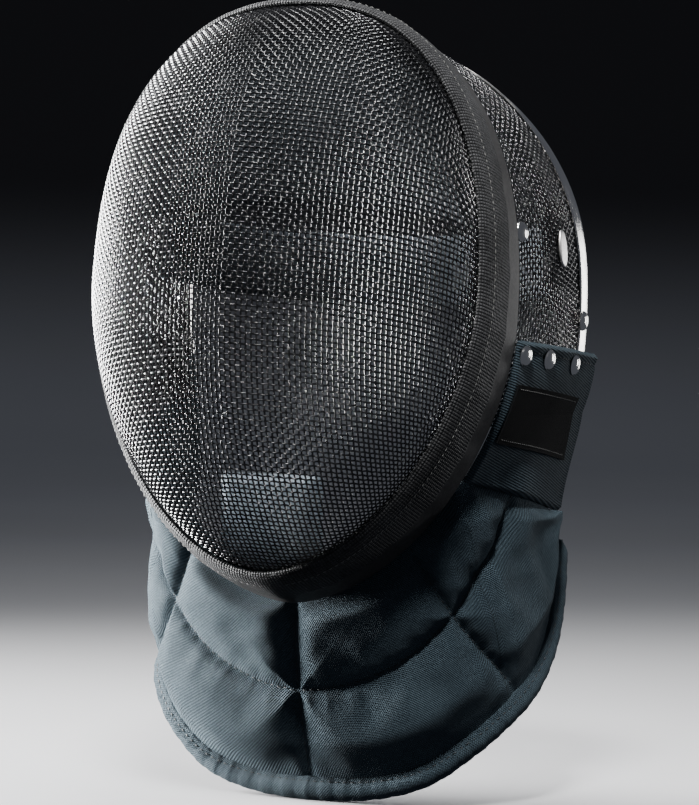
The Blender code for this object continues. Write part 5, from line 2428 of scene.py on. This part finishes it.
@dataclass
class Studio:
    """The pale floor, the soft lights and the camera."""

    form: MaskForm
    foot: float = -0.3952
    distance: float = 1.8
    toward: tuple[float, float, float] = (0.40879, -0.91261, 0.00567)
    roll: float = 1.17
    focal: float = 3492.0
    frame: tuple[int, int] = (699, 805)
    rim_spot: tuple[float, float] = (285.5, 294.8)
    floor_reach: float = 3.4
    sweep: float = 1.2
    wall: float = 4.0

    def camera(self) -> None:
        """Sets the camera where the photograph was taken from."""
        rim = Vector((0.0, -self.form.seat_back, -self.form.seat_up))
        data = bpy.data.cameras.new("photo_camera")
        data.sensor_width = 36.0
        data.lens = self.focal / self.frame[1] * 36.0
        data.clip_start, data.clip_end = 0.05, 60.0
        camera = bpy.data.objects.new("photo_camera", data)
        bpy.context.scene.collection.objects.link(camera)
        toward = Vector(self.toward).normalized()
        camera.location = rim + toward * self.distance
        turn = toward.to_track_quat("Z", "Y")
        right = (self.frame[0] / 2 - self.rim_spot[0]) / self.focal
        lower = (self.frame[1] / 2 - self.rim_spot[1]) / self.focal
        aim = Euler((-lower, -right, 0.0)).to_quaternion()
        spin = Euler((0.0, 0.0, math.radians(self.roll))).to_quaternion()
        camera.rotation_mode = "QUATERNION"
        camera.rotation_quaternion = turn @ spin @ aim
        bpy.context.scene.camera = camera

    def light(self, name: str, at: tuple, size: tuple[float, float], power: float,
              height: float = -0.17, spread: float = 180.0) -> Piece:
        """A rectangular soft light that faces the mask at a height.

        Args:
            name: its name.
            at: its place.
            size: width and height.
            power: watts.
            height: the height it faces.
            spread: its beam in degrees.

        Returns:
            The lamp.
        """
        data = bpy.data.lights.new(name, "AREA")
        data.shape, data.size, data.size_y = "RECTANGLE", size[0], size[1]
        data.energy, data.spread = power, math.radians(spread)
        lamp = bpy.data.objects.new(name, data)
        lamp.location = at
        lamp.visible_camera = False
        aim = Vector((0.0, 0.0, height)) - Vector(at)
        lamp.rotation_euler = aim.to_track_quat("-Z", "Y").to_euler()
        bpy.context.scene.collection.objects.link(lamp)
        return lamp

    def floor(self, groups: ClothGroups) -> None:
        """A plain pale floor that sweeps up into a round wall, without an edge between them.

        Args:
            groups: the shared shader groups.
        """
        turn = np.linspace(0.0, 0.5 * np.pi, 24)
        out = np.concatenate([[0.02, 0.6, 1.6, 2.6], self.floor_reach + self.sweep * np.sin(turn)])
        up = np.concatenate([[0.0] * 4, self.sweep * (1 - np.cos(turn))])
        out, up = np.append(out, out[-1]), np.append(up, self.wall)
        round_it = np.linspace(0.0, 2 * np.pi, 128, endpoint=False)
        rings = np.zeros((len(out), len(round_it), 3))
        rings[..., 0] = out[:, None] * np.cos(round_it)
        rings[..., 1] = out[:, None] * np.sin(round_it)
        rings[..., 2] = self.foot + up[:, None]
        faces = grid_faces(len(out), len(round_it), wrap=True).tolist()
        faces.append(list(range(len(round_it)))[::-1])
        piece = mesh_piece("studio_floor", rings.reshape(-1, 3), faces)
        piece.data.shade_smooth()
        dress = Dressing("pale_floor", groups)
        board = dress.board
        cloud = board.noise(board.place(), 3.0, 3.0)
        paper = board.mix(cloud, (0.46, 0.46, 0.47), (0.50, 0.50, 0.51))
        split = board.node("ShaderNodeSeparateXYZ")
        board.join(board.place(), split.inputs[0])
        high = board.span(split.outputs[2], self.foot, self.foot + 0.45, 0.0, 1.0)
        dress.set(Base_Color=board.mix(high, paper, (0.035, 0.033, 0.035)), Roughness=0.8)
        piece.data.materials.append(dress.material)
        piece.visible_diffuse = piece.visible_glossy = False

    def world(self) -> None:
        """A weak even light, which keeps the shaded side readable."""
        world = bpy.data.worlds.new("studio")
        world.use_nodes = True
        back = world.node_tree.nodes["Background"]
        back.inputs["Color"].default_value = (0.078, 0.084, 0.100, 1.0)
        bpy.context.scene.world = world

    def build(self, groups: ClothGroups) -> None:
        """Sets the whole studio.

        Args:
            groups: the shared shader groups.
        """
        self.camera()
        self.floor(groups)
        self.world()
        self.light("left_softbox", (-1.3, 0.0, -0.02), (0.6, 1.0), 72.0, 0.0, 90.0)
        self.light("right_softbox", (1.0, 0.9, -0.10), (0.10, 0.5), 0.35, -0.08, 60.0)
        self.light("rear_card", (0.65, 1.55, -0.20), (0.3, 0.6), 1.0, spread=90.0)
        self.light("front_softbox", (0.3, -1.0, 1.3), (0.3, 0.3), 6.0, -0.05, 60.0)
        self.light("low_left_card", (-1.3, -0.28, -0.28), (0.3, 0.3), 3.6, -0.26, 50.0)
        self.light("top_softbox", (0.0, -0.1, 1.3), (0.4, 0.4), 1.6, 0.0, 60.0)
        glow = self.light("wall_softbox", (-0.6, 1.4, 1.2), (0.5, 0.5), 0.8, spread=110.0)
        away = Vector((-1.9, 4.2, -0.15)) - glow.location
        glow.rotation_euler = away.to_track_quat("-Z", "Y").to_euler()


def main() -> None:
    """Builds the mask piece by piece and reports each."""
    logging.basicConfig(level=logging.INFO, format="%(message)s")
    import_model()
    groups = ClothGroups()
    form = MaskForm()
    wire = EnamelledWire().build("enamelled_wire", groups)
    tape = BindingTape().build("binding_tape", groups)
    steel = BrightSteel().build("bright_steel", groups)
    brushed = BrightSteel(smooth=0.34).build("brushed_steel", groups)
    twill = TwillCloth().build("bib_twill", groups)
    ribbed = TwillCloth(
        (0.022, 0.034, 0.044), (0.055, 0.080, 0.096), pitch=0.0060, slant=-4.4, beads=0.12,
        depth=0.0005,
    ).build("flap_twill", groups)
    label = FineWeave((0.004, 0.004, 0.0042), (0.009, 0.009, 0.0095), 0.00045).build("label_weave", groups)
    lining = FineWeave((0.03, 0.036, 0.042), (0.07, 0.08, 0.09), 0.0009).build("lining_cloth", groups)
    chin = FineWeave((0.46, 0.55, 0.64), (0.62, 0.70, 0.78), 0.0009).build("chin_cloth", groups)
    elastic = FineWeave((0.05, 0.06, 0.07), (0.09, 0.10, 0.115), 0.0011).build("elastic_weave", groups)
    thread = SewingThread().build("dark_thread", groups)
    pale = SewingThread((0.16, 0.16, 0.15)).build("grey_thread", groups)

    Studio(form).build(groups)
    FaceMesh(form).build(wire)
    CrownMesh(form).build(wire)
    RimTape(form).build(tape, pale)
    SteelStrip(form).build(steel)
    heads = Fasteners(form)
    heads.build(steel, brushed)
    bib = ThroatBib(form)
    flaps = {side: SideFlap(form, bib, side) for side in Side}
    bib.flap_line = flaps[Side.LEFT].skin(np.linspace(0.0, 1.0, 60), np.ones(60))
    bib.build(twill, thread)
    RolledHem(bib).build(twill, thread)
    for flap in flaps.values():
        flap.build(ribbed, thread, steel, heads)
    BareLabel(flaps[Side.LEFT]).build(label, pale)
    Linings(form).build(lining, chin, elastic)


if __name__ == "__main__":
    main()
